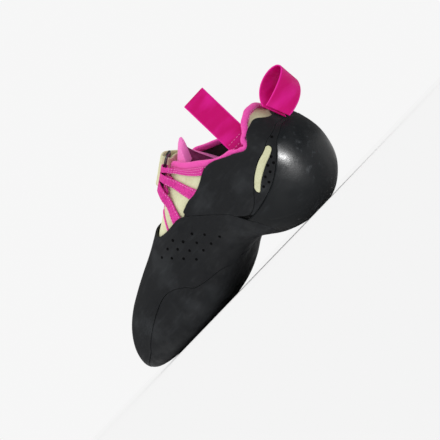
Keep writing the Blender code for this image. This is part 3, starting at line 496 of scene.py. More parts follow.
    @staticmethod
    def sections(first: Array, second: Array, v: Array) -> Array:
        """Flat places under the foot from one edge to the other: rows and angles blended by the share.

        Args:
            first: places of one edge.
            second: as many places of the other.
            v: shares of the way from the first to the second, one line a place.

        Returns:
            Flat places, one line a place.
        """
        rows = [np.hypot(edge[:, 0], edge[:, 1])[:, None] for edge in (first, second)]
        turns = [Last.angle(edge)[:, None] % 360 for edge in (first, second)]
        return Last.spot(rows[0] * (1 - v) + rows[1] * v, turns[0] * (1 - v) + turns[1] * v)

    @staticmethod
    def distance_to(points: Array, line: Array) -> Array:
        """The least real distance from points to a seam's own points.

        Args:
            points: points in metres, in any shape.
            line: the seam.

        Returns:
            One distance a point, at most a metre.
        """
        flat = points.reshape(-1, 3)
        least = np.ones(len(flat))
        for place in Last.surface(line):
            least = np.minimum(least, span(flat - place))
        return least.reshape(points.shape[:-1])

    @staticmethod
    def side_of(spots: Array, line: Array) -> Array:
        """The side of a seam on which each flat place lies, by its nearest chord in the flat plan.

        Args:
            spots: flat places, in any shape.
            line: the seam.

        Returns:
            +1 or -1 for each place.
        """
        flat = spots.reshape(-1, 2)
        nearest = np.argmin(((flat[:, None] - line[None, :-1]) ** 2).sum(-1), axis=1)
        way = line[nearest + 1] - line[nearest]
        chord = flat - line[nearest]
        return np.sign(way[:, 0] * chord[:, 1] - way[:, 1] * chord[:, 0]).reshape(spots.shape[:-1])


SIZES = Last.sizes()


class Seams:
    """Every seam of the rubber, from the tables above."""

    def __init__(self) -> None:
        """Work out the seams."""
        self.outsole = Line.seam(OUTSOLE_EDGE)
        toe = int(np.argmin(span(self.outsole - Last.spot(*OUTSOLE_TIP))))
        self.outsole_medial = self.outsole[:toe + 1][::-1]
        self.outsole_lateral = self.outsole[toe:]
        self.tail = Line.seam(PATCH_TAIL)
        self.patch_top = Line.seam(PATCH_TOP)
        self.cup_front = Line.seam(CUP_FRONT)
        self.cup_sole = Line.seam(CUP_SOLE)
        self.cup_top = Line.seam(Line.both_sides(CUP_TOP))
        near = Line.joined(Line.stretch(self.patch_top, *BAND_FRONT)[::-1], Line.seam(BAND_SOLE))
        self.band_sole = Line.joined(near, Line.other_side(near))
        self.rubber_top = Line.seam(Line.both_sides(RUBBER_TOP))
        self.insert_front = Line.stretch(self.band_sole[:len(self.band_sole) // 2], *INSERT_ENDS)
        self.insert_rear = Line.stretch(self.cup_top[:len(self.cup_top) // 2], *INSERT_ENDS)
        self.crescent = [Line.stretch(line[:len(line) // 2 + 1], *CRESCENT_TIPS)
                         for line in (self.band_sole, self.cup_top)]
        lateral = tuple((row, -angle) for row, angle in reversed(COLLAR[1:-1]))
        self.collar = Line.seam(THROAT_MEDIAL + COLLAR + lateral + THROAT_LATERAL[::-1])
        self.margin = Line.seam(Line.both_sides(MARGIN))


def ripple(points: Array) -> Array:
    """Slight unevenness of rubber laid on by hand: a sum of sine waves of the place, about 0.1 mm.

    Args:
        points: points in metres.

    Returns:
        One height a point.
    """
    total = sum(share * np.sin(points @ np.array(wave, float) + index * 1.7)
                for index, (*wave, share) in enumerate(RIPPLE_WAVES))
    return RIPPLE_HEIGHT * total


def srgb(red: float, green: float, blue: float) -> tuple[float, float, float]:
    """The linear colour of an sRGB one.

    Args:
        red: its red, from 0 to 255, and so for the others.
        green: its green.
        blue: its blue.

    Returns:
        The three parts, from 0 to 1.
    """
    share = np.array((red, green, blue)) / 255
    linear = np.where(share <= 0.04045, share / 12.92, ((share + 0.055) / 1.055) ** 2.4)
    return tuple(float(value) for value in linear)


class Grain(Enum):
    """The kind of surface that a finish has."""

    RUBBER = "matt rubber with dust and fine grain"
    GLOSS = "smooth rubber with a soft sheen"
    SUEDE = "brushed microfibre"
    MESH = "punched microfibre"
    WEBBING = "woven tape with ribs"
    SATIN = "satin ribbon"
    STEEL = "satin wire"
    BOARD = "pressed fibre board"
    THREAD = "twisted thread"
    # painted shade: the inside of a punched hole, drawn as a flat dark colour on discs
    HOLE = "the dark inside of a hole"


@dataclass(frozen=True)
class Finish:
    """One material: its colours, its grain and how it takes the light."""

    name: str
    slot: str
    grain: Grain
    colour: tuple[float, float, float]
    second: tuple[float, float, float]
    roughness: float
    specular: float = 0.3
    sheen: float = 0.0
    bump: float = 0.3
    metallic: float = 0.0


MATT_RUBBER = Finish(
    "matt_rubber", "black_rubber", Grain.RUBBER, srgb(23, 25, 28), srgb(53, 56, 59), 0.6, bump=0.45)
CUP_RUBBER = Finish(
    "cup_rubber", "gloss_rubber", Grain.GLOSS, srgb(4, 5, 6), srgb(14, 16, 18), 0.34, 0.2, bump=0.55)
CREAM_SUEDE = Finish(
    "cream_suede", "cream_microfibre", Grain.SUEDE, srgb(226, 226, 188), srgb(206, 205, 164),
    0.9, 0.15, 0.25, 0.4)
UPPER_ZONES = Finish(
    "upper_zones", "cream_microfibre", Grain.SUEDE, CREAM_SUEDE.colour, CREAM_SUEDE.second,
    0.88, 0.15, 0.2, 0.45)
PINK_WEBBING = Finish(
    "pink_webbing", "pink_microfibre", Grain.WEBBING, srgb(236, 62, 170), srgb(180, 22, 118),
    0.75, 0.2, 0.1, 0.7)
PINK_BEAD = Finish(
    "pink_bead", "pink_microfibre", Grain.WEBBING, srgb(247, 84, 184), srgb(226, 52, 160),
    0.7, 0.25, 0.25, 0.4)
TONGUE_PINK = Finish(
    "tongue_pink", "pink_microfibre", Grain.MESH, srgb(246, 128, 202), srgb(228, 92, 178), 0.8, 0.2, 0.25)
# its lighter second colour is painted sheen in soft bands, and the selvedge
RIBBON_SATIN = Finish(
    "ribbon_satin", "pink_ribbon", Grain.SATIN, srgb(206, 0, 112), srgb(240, 34, 164), 0.40, 0.14, bump=0.4)
RING_WIRE_STEEL = Finish(
    "ring_wire", "ring_steel", Grain.STEEL, srgb(120, 120, 122), srgb(84, 84, 86), 0.32, 0.5, 0.0, 0.05, 1.0)
FIBRE_BOARD = Finish(
    "fibre_board", "insole_board", Grain.BOARD, srgb(150, 145, 134), srgb(112, 106, 96), 0.9, 0.2, 0.1, 0.4)
PINK_THREAD = Finish(
    "pink_thread", "pink_microfibre", Grain.THREAD, srgb(255, 176, 226), srgb(244, 130, 204), 0.6, bump=0.2)
CREAM_THREAD = Finish(
    "cream_thread", "cream_microfibre", Grain.THREAD, srgb(236, 236, 206), srgb(206, 205, 170),
    0.65, 0.3, 0.2, 0.2)
# painted shade that stands for the inside of the punched holes
HOLE_SHADE = Finish(
    "hole_shade", "black_rubber", Grain.HOLE, srgb(12, 12, 13), srgb(6, 6, 6), 0.9, 0.05, bump=0.0)
# The facing strip's two pinks; painted shade: the cream darkened toward the rubber's edge, the wall under the
# rubber near black, and the whole inside of the wall dark
FACING_PINK, FACING_HOLE = srgb(247, 86, 186), srgb(176, 30, 112)
RUBBER_EDGE_SHADE, UNDER_RUBBER_SHADE, INSIDE_SHADE = srgb(120, 116, 98), srgb(20, 20, 21), srgb(58, 52, 50)


class Network:
    """The nodes of one material, added with short calls."""

    def __init__(self, finish: Finish) -> None:
        """Start an empty material with one shader."""
        self.finish = finish
        self.material = bpy.data.materials.new(finish.name)
        self.material.use_nodes = True
        self.tree = self.material.node_tree
        self.shader = self.tree.nodes["Principled BSDF"]
        self.place = self.tree.nodes.new("ShaderNodeTexCoord")

    def link(self, socket: Socket, value: object) -> None:
        """Set an input to a number, or join it to another node's output.

        Args:
            socket: the input.
            value: the number or colour, or the output.
        """
        if isinstance(value, Socket):
            self.tree.links.new(value, socket)
        else:
            socket.default_value = value

    def node(self, kind: str, settings: dict[str | int, object]) -> bpy.types.Node:
        """A new node.

        Args:
            kind: its type, without ShaderNode before it.
            settings: what to set each input to, by name or index.

        Returns:
            The node.
        """
        node = self.tree.nodes.new("ShaderNode" + kind)
        for name, value in settings.items():
            self.link(node.inputs[name], value)
        return node

    def mapped(self, stretch: tuple[float, float, float]) -> Socket:
        """Places in the object, stretched along each axis."""
        settings = {"Vector": self.place.outputs["Object"], "Scale": stretch}
        return self.node("Mapping", settings).outputs["Vector"]

    def noise(self, scale: float, detail: float = 3.0, where: Socket | None = None) -> Socket:
        """Noise from 0 to 1.

        Args:
            scale: its waves per metre.
            detail: how many finer layers it has.
            where: the coordinates, or the place in the object if left out.

        Returns:
            The noise.
        """
        settings = {"Vector": where or self.place.outputs["Object"], "Scale": scale, "Detail": detail}
        return self.node("TexNoise", settings).outputs["Fac"]

    def math(self, operation: str, *values: object) -> Socket:
        """One step of arithmetic.

        Args:
            operation: the Math node's operation.
            values: its inputs, numbers or sockets.

        Returns:
            The result.
        """
        node = self.node("Math", dict(enumerate(values)))
        node.operation = operation
        return node.outputs[0]

    def both(self, first: object, share: float, second: object, other: float) -> Socket:
        """The sum of two values, each times its own share."""
        return self.math("MULTIPLY_ADD", first, share, self.math("MULTIPLY", second, other))

    def ramp(self, value: object, low: float, high: float, first: float = 0.0, last: float = 1.0) -> Socket:
        """A smooth step.

        Args:
            value: what it reads.
            low: where it starts.
            high: where it ends.
            first: what it gives up to low.
            last: what it gives from high on.

        Returns:
            The eased value.
        """
        node = self.node("MapRange", dict(enumerate((value, low, high, first, last))))
        node.interpolation_type = "SMOOTHSTEP"
        return node.outputs["Result"]

    def patches(self, scale: float, detail: float, low: float, high: float) -> Socket:
        """Soft patches: noise taken through a smooth step between low and high."""
        return self.ramp(self.noise(scale, detail), low, high)

    def mix(self, share: object, first: object, second: object) -> Socket:
        """Two colours blended by a share.

        Args:
            share: how much of the second there is.
            first: a socket, or red, green and blue.
            second: the same.

        Returns:
            The colour.
        """
        first, second = ((*value, 1.0) if isinstance(value, tuple) else value for value in (first, second))
        node = self.node("Mix", {0: share, 6: first, 7: second})
        node.data_type = "RGBA"
        return node.outputs[2]

    def attribute(self, name: str) -> Socket:
        """The number of this name that the mesh carries at each point."""
        node = self.node("Attribute", {})
        node.attribute_name = name
        return node.outputs["Fac"]

    def uv(self) -> tuple[Socket, Socket]:
        """The two surface coordinates, in metres."""
        return tuple(self.node("SeparateXYZ", {0: self.place.outputs["UV"]}).outputs[:2])

    def ribs(self, along: object, period: float) -> Socket:
        """Rounded ribs: half of one plus the sine of the distance over the period."""
        turn = self.math("MULTIPLY", along, 2 * math.pi / period)
        return self.math("MULTIPLY_ADD", self.math("SINE", turn), 0.5, 0.5)

    def dots(self, pitch: float, radius: float) -> Socket:
        """Round dots on a square lattice turned by a half step in every second row.

        Args:
            pitch: the distance between two of them, in metres.
            radius: their radius.

        Returns:
            1 inside the dots and 0 outside.
        """
        u, v = self.uv()
        row = self.math("DIVIDE", v, 0.87 * pitch)
        shift = self.math("MULTIPLY", self.math("MODULO", self.math("FLOOR", row), 2.0), 0.5)
        column = self.math("ADD", self.math("DIVIDE", u, pitch), shift)
        offsets = [self.math("SUBTRACT", self.math("FRACT", value), 0.5) for value in (column, row)]
        squares = [self.math("MULTIPLY", offset, offset) for offset in offsets]
        distance = self.math("SQRT", self.math("ADD", *squares))
        return self.ramp(distance, radius / pitch * 0.8, radius / pitch * 1.2, 1.0, 0.0)

    def uneven(self, scale: float, detail: float, less: float, more: float) -> Socket:
        """The finish's roughness, varied in patches between less and more of it."""
        rough = self.finish.roughness
        return self.ramp(self.noise(scale, detail), 0.3, 0.7, rough - less, rough + more)

    def pattern(self) -> tuple[Socket, Socket, object]:
        """The grain of the finish.

        Returns:
            The colour, the height from 0 to 1, and the roughness as a socket or a number.
        """
        grain: Grain = self.finish.grain
        rough: object = self.finish.roughness
        if grain is Grain.RUBBER:
            streak = self.ramp(self.noise(1.0, 4, self.mapped((70, 420, 420))), 0.5, 0.8)
            tint = self.both(self.patches(45, 6, 0.48, 0.72), 0.45, streak, 0.28)
            height = self.both(self.noise(2600, 3), 0.5, self.noise(240, 4), 0.5)
            rough = self.uneven(120, 4, 0.1, 0.14)
        elif grain is Grain.GLOSS:
            tint = self.ramp(self.noise(1.0, 5, self.mapped((60, 260, 260))), 0.56, 0.76)
            height = self.both(self.noise(1500, 2), 0.3, self.noise(520, 4), 0.7)
            rough = self.math("MULTIPLY_ADD", tint, 0.2, self.uneven(80, 4, 0.05, 0.1))
        elif grain is Grain.SUEDE:
            tint = self.ramp(self.both(self.noise(70, 5), 0.6, self.noise(900, 3), 0.4), 0.38, 0.66)
            height = self.both(self.noise(5200, 4), 0.6, self.noise(800, 4), 0.4)
        elif grain is Grain.MESH:
            hole = self.dots(0.00115, 0.00030)
            tint = self.both(self.patches(600, 3, 0.35, 0.7), 0.22, hole, 0.7)
            height = self.both(self.noise(4200, 3), 0.3, hole, -1.0)
        elif grain is Grain.WEBBING:
            u, v = self.uv()
            rib = self.ribs(u, 0.00075)
            height = self.both(rib, 0.7, self.ribs(v, 0.0011), 0.3)
            speck = self.math("MULTIPLY_ADD", self.patches(850, 3, 0.38, 0.66), 0.5, 0.35)
            tint = self.math("MULTIPLY_ADD", rib, -0.35, speck)
        elif grain is Grain.SATIN:
            u, v = self.uv()
            height = self.both(self.ribs(v, 0.00042), 0.5, self.ribs(u, 0.00060), 0.5)
            edge = self.ramp(self.attribute("edge"), 0.0003, 0.0011, 1.0, 0.0)
            # painted sheen: broad soft bands of the lighter colour stand for the satin's reflections; the
            # lighter edge is the ribbon's selvedge
            sheen = self.ramp(self.noise(1.0, 3, self.mapped((30, 30, 90))), 0.42, 0.66)
            tint = self.math("MAXIMUM", self.math("MULTIPLY", sheen, 0.55), edge)
        elif grain is Grain.BOARD:
            tint, height = self.patches(700, 6, 0.35, 0.68), self.noise(1800, 6)
        else:
            tint, height = self.patches(900, 4, 0.4, 0.65), self.noise(3000, 3)
            rough = self.uneven(400, 3, 0.05, 0.1)
        return self.mix(tint, self.finish.colour, self.finish.second), height, rough

    def finished(self, colour: object, height: object, rough: object) -> bpy.types.Material:
        """Join colour, height and roughness to the shader.

        Args:
            colour: the base colour's socket.
            height: the bump's socket, from 0 to 1.
            rough: the roughness, a socket or a number.

        Returns:
            The material.
        """
        finish = self.finish
        settings = {
            "Base Color": colour, "Roughness": rough, "Metallic": finish.metallic,
            "Specular IOR Level": finish.specular, "Sheen Weight": finish.sheen, "Sheen Roughness": 0.5,
        }
        if finish.bump:
            bump = self.node("Bump", {"Strength": finish.bump, "Distance": GRAIN_DEPTH, "Height": height})
            settings["Normal"] = bump.outputs["Normal"]
        for name, value in settings.items():
            self.link(self.shader.inputs[name], value)
        return self.material


def material_of(finish: Finish) -> bpy.types.Material:
    """The material of a finish, made once."""
    network = None if finish.name in bpy.data.materials else Network(finish)
    return network.finished(*network.pattern()) if network else bpy.data.materials[finish.name]


def cells(u: Array, v: Array, count_u: int, count_v: int) -> Array:
    """Corners of a grid's cells, for points numbered u * count_v + v.

    Args:
        u: the cells' lines, where the line after the last is the first.
        v: the cells' columns, in the same way.
        count_u: how many lines the grid has.
        count_v: how many columns it has.

    Returns:
        Four corners a row.
    """
    u, v = u[:, None], v[None]
    after, next_v = (u + 1) % count_u, (v + 1) % count_v
    corners = (u * count_v + v, after * count_v + v, after * count_v + next_v, u * count_v + next_v)
    return np.stack(np.broadcast_arrays(*corners), -1).reshape(-1, 4)


def circle(first: Array, second: Array, count: int) -> Array:
    """Unit circles of even points in the planes of two vectors, one circle for each pair."""
    turn = np.linspace(0, 2 * math.pi, count + 1)[:-1, None]
    return first[:, None] * np.cos(turn) + second[:, None] * np.sin(turn)


def shell_faces(count_u: int, count_v: int, ring: bool) -> Array:
    """Faces of a closed wall between two like grids: both sheets, and strips that join their borders.

    Args:
        count_u: how many lines each grid has.
        count_v: how many columns it has.
        ring: whether the last line joins the first.

    Returns:
        Four corners a row; the second grid's points are numbered on from the first's.
    """
    total = count_u * count_v
    u, v = np.arange(count_u if ring else count_u - 1), np.arange(count_v - 1)
    outer = cells(u, v, count_u, count_v)
    low = np.stack([(u + 1) % count_u, u], -1) * count_v
    strips = [low, low[:, ::-1] + count_v - 1]
    if not ring:
        strips += [np.stack([v, v + 1], -1), np.stack([v + 1, v], -1) + (count_u - 1) * count_v]
    borders = [np.stack([s[:, 0], s[:, 1], s[:, 1] + total, s[:, 0] + total], -1) for s in strips]
    return np.concatenate([outer, outer[:, ::-1] + total] + borders)


def make(name: str, points: Array, faces: Array, finish: Finish, uv: Array | None = None,
         values: dict[str, Array] | None = None, nodes: tuple[str, ...] = (), wrap: float = 0.0) -> Thing:
    """Put a closed mesh into the scene, riding on the shoe.

    Args:
        name: the piece's name.
        points: its points, one a row, in metres.
        faces: corner indices, four a row; they are turned round if the volume comes out negative.
        finish: its material.
        uv: surface coordinates in metres, one a point.
        values: numbers at each point that the material reads, by name.
        nodes: the solids that it stands for.
        wrap: the length of a ring's surface coordinate, so that its last cells don't run backwards.

    Returns:
        The object.
    """
    corners = points[faces]
    volume = np.einsum("ij,ij->i", corners[:, 0], np.cross(corners[:, 1], corners[:, 2])).sum()
    volume += np.einsum("ij,ij->i", corners[:, 0], np.cross(corners[:, 2], corners[:, 3])).sum()
    if volume < 0:
        faces = faces[:, ::-1]
    mesh = bpy.data.meshes.new(name)
    mesh.from_pydata(points, [], faces)
    if uv is not None:
        loops = uv[faces]
        if wrap:
            back = loops[..., 0].max(1, keepdims=True) - loops[..., 0] > 0.5 * wrap
            loops[..., 0] += wrap * back
        layer = mesh.uv_layers.new(name="UVMap")
        layer.uv.foreach_set("vector", loops.astype(np.float32).ravel())
    for key, numbers in (values or {}).items():
        attribute = mesh.attributes.new(key, "FLOAT", "POINT")
        attribute.data.foreach_set("value", np.ascontiguousarray(numbers, np.float32).ravel())
    mesh.shade_smooth()
    mesh.validate(clean_customdata=False)
    thing = bpy.data.objects.new(name, mesh)
    bpy.context.scene.collection.objects.link(thing)
    mesh.materials.append(material_of(finish))
    return settle(thing, nodes)


def settle(thing: Thing, nodes: tuple[str, ...]) -> Thing:
    """Put an object on the shoe's root empty, and hide the solids that it replaces.

    Args:
        thing: the object.
        nodes: the solids that it stands for.

    Returns:
        The object.
    """
    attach(thing, "root")
    if nodes:
        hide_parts(*nodes)
    LOG.info("%s: %d points, %d faces", thing.name, len(thing.data.vertices), len(thing.data.polygons))
    return thing


def shell(name: str, outer: Array, inner: Array, finish: Finish, nodes: tuple[str, ...] = (),
          ring: bool = False, values: dict[str, Array] | None = None) -> Thing:
    """A closed wall between two grids of points, with surface coordinates in metres.

    Args:
        name: the piece's name.
        outer: the outer grid.
        inner: the inner grid, of the same shape.
        finish: the material.
        nodes: the solids that it stands for.
        ring: whether the last line joins the first.
        values: numbers on the outer grid that the material reads; the inner grid gets the same.

    Returns:
        The object.
    """
    count_u, count_v = outer.shape[:2]
    middle = outer[:, count_v // 2]
    along = travelled(middle)
    wrap = along[-1] + np.linalg.norm(middle[-1] - middle[0]) if ring else 0.0
    across = span(np.diff(outer, axis=1))
    across = np.concatenate([np.zeros((count_u, 1)), np.cumsum(across, 1)], 1)
    uv = np.stack([np.repeat(along[:, None], count_v, 1), across], -1).reshape(-1, 2)
    numbers = {key: np.tile(np.asarray(value).ravel(), 2) for key, value in (values or {}).items()}
    numbers["inside"] = np.repeat([0.0, 1.0], count_u * count_v)
    numbers.setdefault("edge", np.tile(np.minimum(across, across[:, -1:] - across).ravel(), 2))
    points = np.concatenate([outer.reshape(-1, 3), inner.reshape(-1, 3)])
    faces = shell_faces(count_u, count_v, ring)
    return make(name, points, faces, finish, np.tile(uv, (2, 1)), numbers, nodes, wrap)


def tube(name: str, loops: Array, finish: Finish, nodes: tuple[str, ...] = ()) -> Thing:
    """A closed ring of closed sections.

    Args:
        name: the piece's name.
        loops: the points round each section, one section a row.
        finish: its material.
        nodes: the solids that it stands for.

    Returns:
        The object.
    """
    count_u, around = loops.shape[:2]
    faces = cells(np.arange(count_u), np.arange(around), count_u, around)
    gaps = span(loops - np.roll(loops, 1, 0)).mean(1)
    along = np.cumsum(gaps) - gaps[0]
    girth = span(loops - np.roll(loops, 1, 1)).mean(0)
    turn = np.cumsum(girth) - girth[0]
    uv = np.stack(np.broadcast_arrays(along[:, None], turn[None]), -1).reshape(-1, 2)
    return make(name, loops.reshape(-1, 3), faces, finish, uv, None, nodes, float(along[-1] + gaps[0]))


@dataclass
class Edges:
    """How finely a piece of rubber is divided, and the shape of its border."""

    step: float = 0.0013
    lip: float = 0.0009
    drop: float = 0.00038
    eased: tuple[float, ...] = (0.0, 0.06, 0.2, 0.42, 0.7)

    def shares(self, widths: Array | float, count: int) -> tuple[Array, Array]:
        """Shares across sides of real lengths: fine steps in the lip at both ends, even steps between.

        Args:
            widths: the real length of each line, in metres.
            count: the even steps.

        Returns:
            The shares, one line a row, and each one's distance from the nearer end in metres.
        """
        widths = np.atleast_1d(np.asarray(widths, float))
        eased = np.array(self.eased)
        share = np.minimum(self.lip / widths, 0.2)[:, None]
        inner = share + (1 - 2 * share) * np.linspace(0, 1, count + 1)
        both = np.concatenate([eased * share, inner, 1 - (eased * share)[:, ::-1]], 1)
        return both, np.minimum(both, 1 - both) * widths[:, None]

    def rounding(self, distance: Array) -> Array:
        """The depth of the border: a quarter circle, from the drop at the edge to nothing at the lip."""
        inside = np.clip(1 - distance / self.lip, 0, 1)
        return self.drop * (1 - np.sqrt(1 - inside**2))


@dataclass
class RubberWork:
    """The rubber round the last: outsole, toe patch, arch piece, side band, heel inserts and heel cup."""

    seams: Seams
    edges: Edges = field(default_factory=Edges)
    thickness: float = RUBBER
    slot_width: float = 0.0044
    slot_back: float = 0.0004
    tail_step: float = 0.00022
    groove_depth: float = 0.00030
    groove_width: float = 0.0006
    tip_steps: tuple[float, ...] = (0.004, 0.009, 0.016, 0.026, 0.038)

    def lay(self, name: str, spots: Array, distance: Array, finish: Finish, nodes: tuple[str, ...],
            relief: Array | float = 0.0) -> Thing:
        """A piece of rubber over flat places: its face is lowered by the lip and raised by the relief.

        Args:
            name: the piece's name.
            spots: flat places, in a grid.
            distance: each one's real distance from the nearest border.
            finish: the material.
            nodes: the solids that it stands for.
            relief: how far the face stands out at each place, in metres.

        Returns:
            The piece.
        """
        face = Last.surface(spots)
        depth = self.edges.rounding(distance) - relief - ripple(face)
        outer = Last.point(spots, depth, floor=True)
        inner = Last.point(spots, self.thickness + Last.sole_extra(spots))
        return shell(name, outer, inner, finish, nodes, values={"rim": distance})

    def between(self, lines: tuple[Array, ...], u: Array, count: int,
                slide: Array | None = None) -> tuple[Array, Array]:
        """Flat places inside four seams, as in a Coons patch whose ends fade out as a fifth power.

        Args:
            lines: the sole side, the top side, the start and the end.
            u: shares along the two long sides.
            count: steps across.
            slide: pairs of shares of the two long sides that face each other.

        Returns:
            The places and the real distance of each from the nearest border.
        """
        sole, top, start, end = lines
        turned = u if slide is None else np.interp(u, *slide)
        low, high = Line.beside(sole, u, top, turned), Line.beside(top, turned, sole, u)
        v, distance = self.edges.shares(Line.real_width(low, high), count)
        s, t = u[:, None, None], v[..., None]
        places = low[:, None] * (1 - t) + high[:, None] * t
        for line, row, fade in ((start, 0, (1 - s) ** 5), (end, -1, s**5)):
            if line is not None:
                places += (Line.walk(line, v[row]) - (line[0] * (1 - t[row]) + line[-1] * t[row])) * fade
        return places, distance

    def along(self, length: float) -> tuple[Array, Array]:
        """Shares along a side: the seam's clearance, the lip, then even steps.

        Args:
            length: the side's real length.

        Returns:
            The shares, and each one's distance from the nearer end.
        """
        gap = SEAM_GAP / length
        shares, distance = self.edges.shares(length * (1 - 2 * gap), max(int(length / self.edges.step), 6))
        return gap + (1 - 2 * gap) * shares[0], distance[0]

    def outsole(self) -> None:
        """The outsole: lines across the sole, each along its own row of the last."""
        medial, lateral = self.seams.outsole_medial, self.seams.outsole_lateral
        length = Line.length(medial)
        rear = SEAM_GAP / length
        lip = 1 - rear - self.edges.lip / length * np.array((1.0,) + self.edges.eased[::-1])
        along = np.concatenate([self.tip_steps, np.linspace(0.052, lip[0], 118)[:-1], lip])
        middle = Last.spot(np.linspace(OUTSOLE_TIP[0], OUTSOLE_EDGE[0][0], 12), np.full(12, 180.0))
        near, far = (Line.beside(edge, along, middle, along) for edge in (medial, lateral))
        across, distance = self.edges.shares(Line.real_width(near, far), 76)
        end = (1 - rear - along) * length
        spots = Line.sections(near, far, across)
        self.lay("outsole_rubber", spots, np.minimum(distance, end[:, None]), MATT_RUBBER, ("outsole",))

    def patch(self) -> None:
        """The toe patch, from the outsole's edge to the upper, and back to the heel cup on both sides."""
        seams = self.seams
        sole = Line.joined(seams.tail[::-1], seams.outsole, Line.other_side(seams.tail)[::-1])
        total = Line.length(sole)
        corner = Line.length(seams.tail) / total
        u = np.sort(np.append(self.along(total)[0], (corner, 1 - corner)))
        edge = (SEAM_GAP + self.edges.lip) / np.array((total, Line.length(seams.patch_top)))
        slide = np.array(((0, 0), edge, (corner, PATCH_CORNER_SHARE), *PATCH_SLIDE))
        slide = np.concatenate([slide, 1 - slide[-2::-1]]).T
        lines = (sole, seams.patch_top, seams.cup_front[::-1], Line.other_side(seams.cup_front))
        spots, distance = self.between(lines, u, 44, slide)
        tail = np.minimum(u, 1 - u)[:, None] * total
        relief = self.raised(spots, TAIL_STEP, self.tail_step)
        self.lay("toe_patch_rubber", spots, np.minimum(distance, tail), MATT_RUBBER, ("toe_patch",), relief)

    @staticmethod
    def raised(spots: Array, table: tuple[Place, ...], height: float, width: float = 0.0009) -> Array:
        """A low step along a line, eased over a width.

        Args:
            spots: flat places.
            table: the line's places.
            height: how far the line's upper side stands out.
            width: how wide the step is.

        Returns:
            The relief at each place.
        """
        line = Line.seam(table)
        distance = Line.distance_to(Last.surface(spots), line) * Line.side_of(spots, line)
        return height * smooth_step(0.5 + distance / width)

    def arch(self) -> None:
        """The arch piece under the waist, between the outsole and the heel cup."""
        seams = self.seams
        along, ends = self.along(Line.length(seams.tail))
        middle = Last.spot(np.linspace(OUTSOLE_EDGE[0][0], CUP_SOLE[0][0], 12), np.full(12, 180.0))
        near = Line.beside(seams.tail, along, middle, along)
        far = near * (1, -1)
        across, distance = self.edges.shares(Line.real_width(near, far), 60)
        spots = Line.sections(near, far, across)
        spots += (Line.walk(seams.cup_sole, across[-1]) - spots[-1]) * along[:, None, None] ** 2
        self.lay("arch_rubber", spots, np.minimum(distance, ends[:, None]), MATT_RUBBER, ("arch_piece",))

    def band(self) -> None:
        """The side band: the strip of rubber round the upper above the cup, with a raised edge."""
        sole, top = self.seams.band_sole, self.seams.rubber_top
        u, ends = self.along(Line.length(sole))
        lines = (sole, top, Line.straight(sole[0], top[0]), Line.straight(sole[-1], top[-1]))
        spots, distance = self.between(lines, u, 16)
        self.lay("side_band_rubber", spots, np.minimum(distance, ends[:, None]), MATT_RUBBER, ("side_band",))

    def cup(self) -> None:
        """The heel cup, with the plate's line pressed into it."""
        seams = self.seams
        sole = Line.joined(seams.cup_front, seams.cup_sole, Line.other_side(seams.cup_front))
        front = Line.length(seams.cup_front) / Line.length(sole)
        u = np.sort(np.append(self.along(Line.length(sole))[0], (front, 1 - front)))
        spots, distance = self.between((sole, seams.cup_top, None, None), u, 64)
        near = Line.distance_to(Last.surface(spots), Line.seam(CUP_GROOVE))
        relief = -self.groove_depth * np.exp(-((near / self.groove_width) ** 2))
        self.lay("heel_cup_rubber", spots, distance, CUP_RUBBER, ("heel_cup",), relief)

    def inserts(self) -> None:
        """The crescent of rubber on each side of the heel, cut for its slot, and the inlay in the slot."""
        for side, flip in (("medial", 1), ("lateral", -1)):
            front, rear = (line * (1, flip) for line in self.seams.crescent)
            u, ends = self.along(Line.length(front))
            lines = (front, rear, Line.straight(front[0], rear[0]), Line.straight(front[-1], rear[-1]))
            spots, distance = self.between(lines, u, 14)
            name = "heel_insert_" + side
            distance = np.minimum(distance, ends[:, None])
            whole = self.lay(name + "_rubber", spots, distance, MATT_RUBBER, (name,))
            edges = [line * (1, flip) for line in (self.seams.insert_front, self.seams.insert_rear)]
            self.cut(whole, self.slot_strip("window_" + side, *edges, 0.0, (-RUBBER, 2 * RUBBER), ()))
            name = "heel_slot_" + side
            self.slot_strip(name + "_inlay", *edges, FIT_GAP, (self.slot_back, RUBBER), (name,))

    @staticmethod
    def cut(whole: Thing, window: Thing) -> None:
        """Take the window's shape out of a piece, and leave no modifier on it.

        Args:
            whole: the piece.
            window: a solid of the hole, which is removed afterwards.
        """
        modifier = whole.modifiers.new("Slot", "BOOLEAN")
        modifier.operation, modifier.object = "DIFFERENCE", window
        evaluated = whole.evaluated_get(bpy.context.evaluated_depsgraph_get())
        mesh = bpy.data.meshes.new_from_object(evaluated)
        whole.modifiers.clear()
        whole.data = mesh
        mesh.set_sharp_from_angle(angle=math.radians(50))
        bpy.data.objects.remove(window)

    def slot_strip(self, name: str, front: Array, rear: Array, trim: float, depths: Place,
                   nodes: tuple[str, ...]) -> Thing:
        """A strip along the front of an insert: its half width is that of a circle at each end.

        Args:
            name: the piece's name.
            front: the insert's front seam.
            rear: its rear seam.
            trim: how much smaller the strip is than the slot, all round.
            depths: how deep its outer and inner faces lie.
            nodes: the solids that it stands for.

        Returns:
            The strip.
        """
        half, (first, last) = 0.5 * self.slot_width, SLOT_ENDS
        ends = trim / Line.length(front)
        u = first + ends + (last - first - 2 * ends) * (0.5 - 0.5 * np.cos(np.linspace(0, math.pi, 41)))
        fore, back = Line.walk(front, u), Line.walk(rear, u)
        width = span(Last.surface(back) - Last.surface(fore))
        place = Line.travelled(fore)
        end, radius = np.minimum(place, place[-1] - place), half - trim
        reach = np.sqrt(np.maximum(radius**2 - np.maximum(radius - end, 0) ** 2, (0.15 * radius) ** 2))
        across = (half + reach[:, None] * np.linspace(-1, 1, 9)) / width[:, None]
        spots = fore[:, None] * (1 - across[..., None]) + back[:, None] * across[..., None]
        outer, inner = (Last.point(spots, depth) for depth in depths)
        return shell(name, outer, inner, CREAM_SUEDE, nodes)

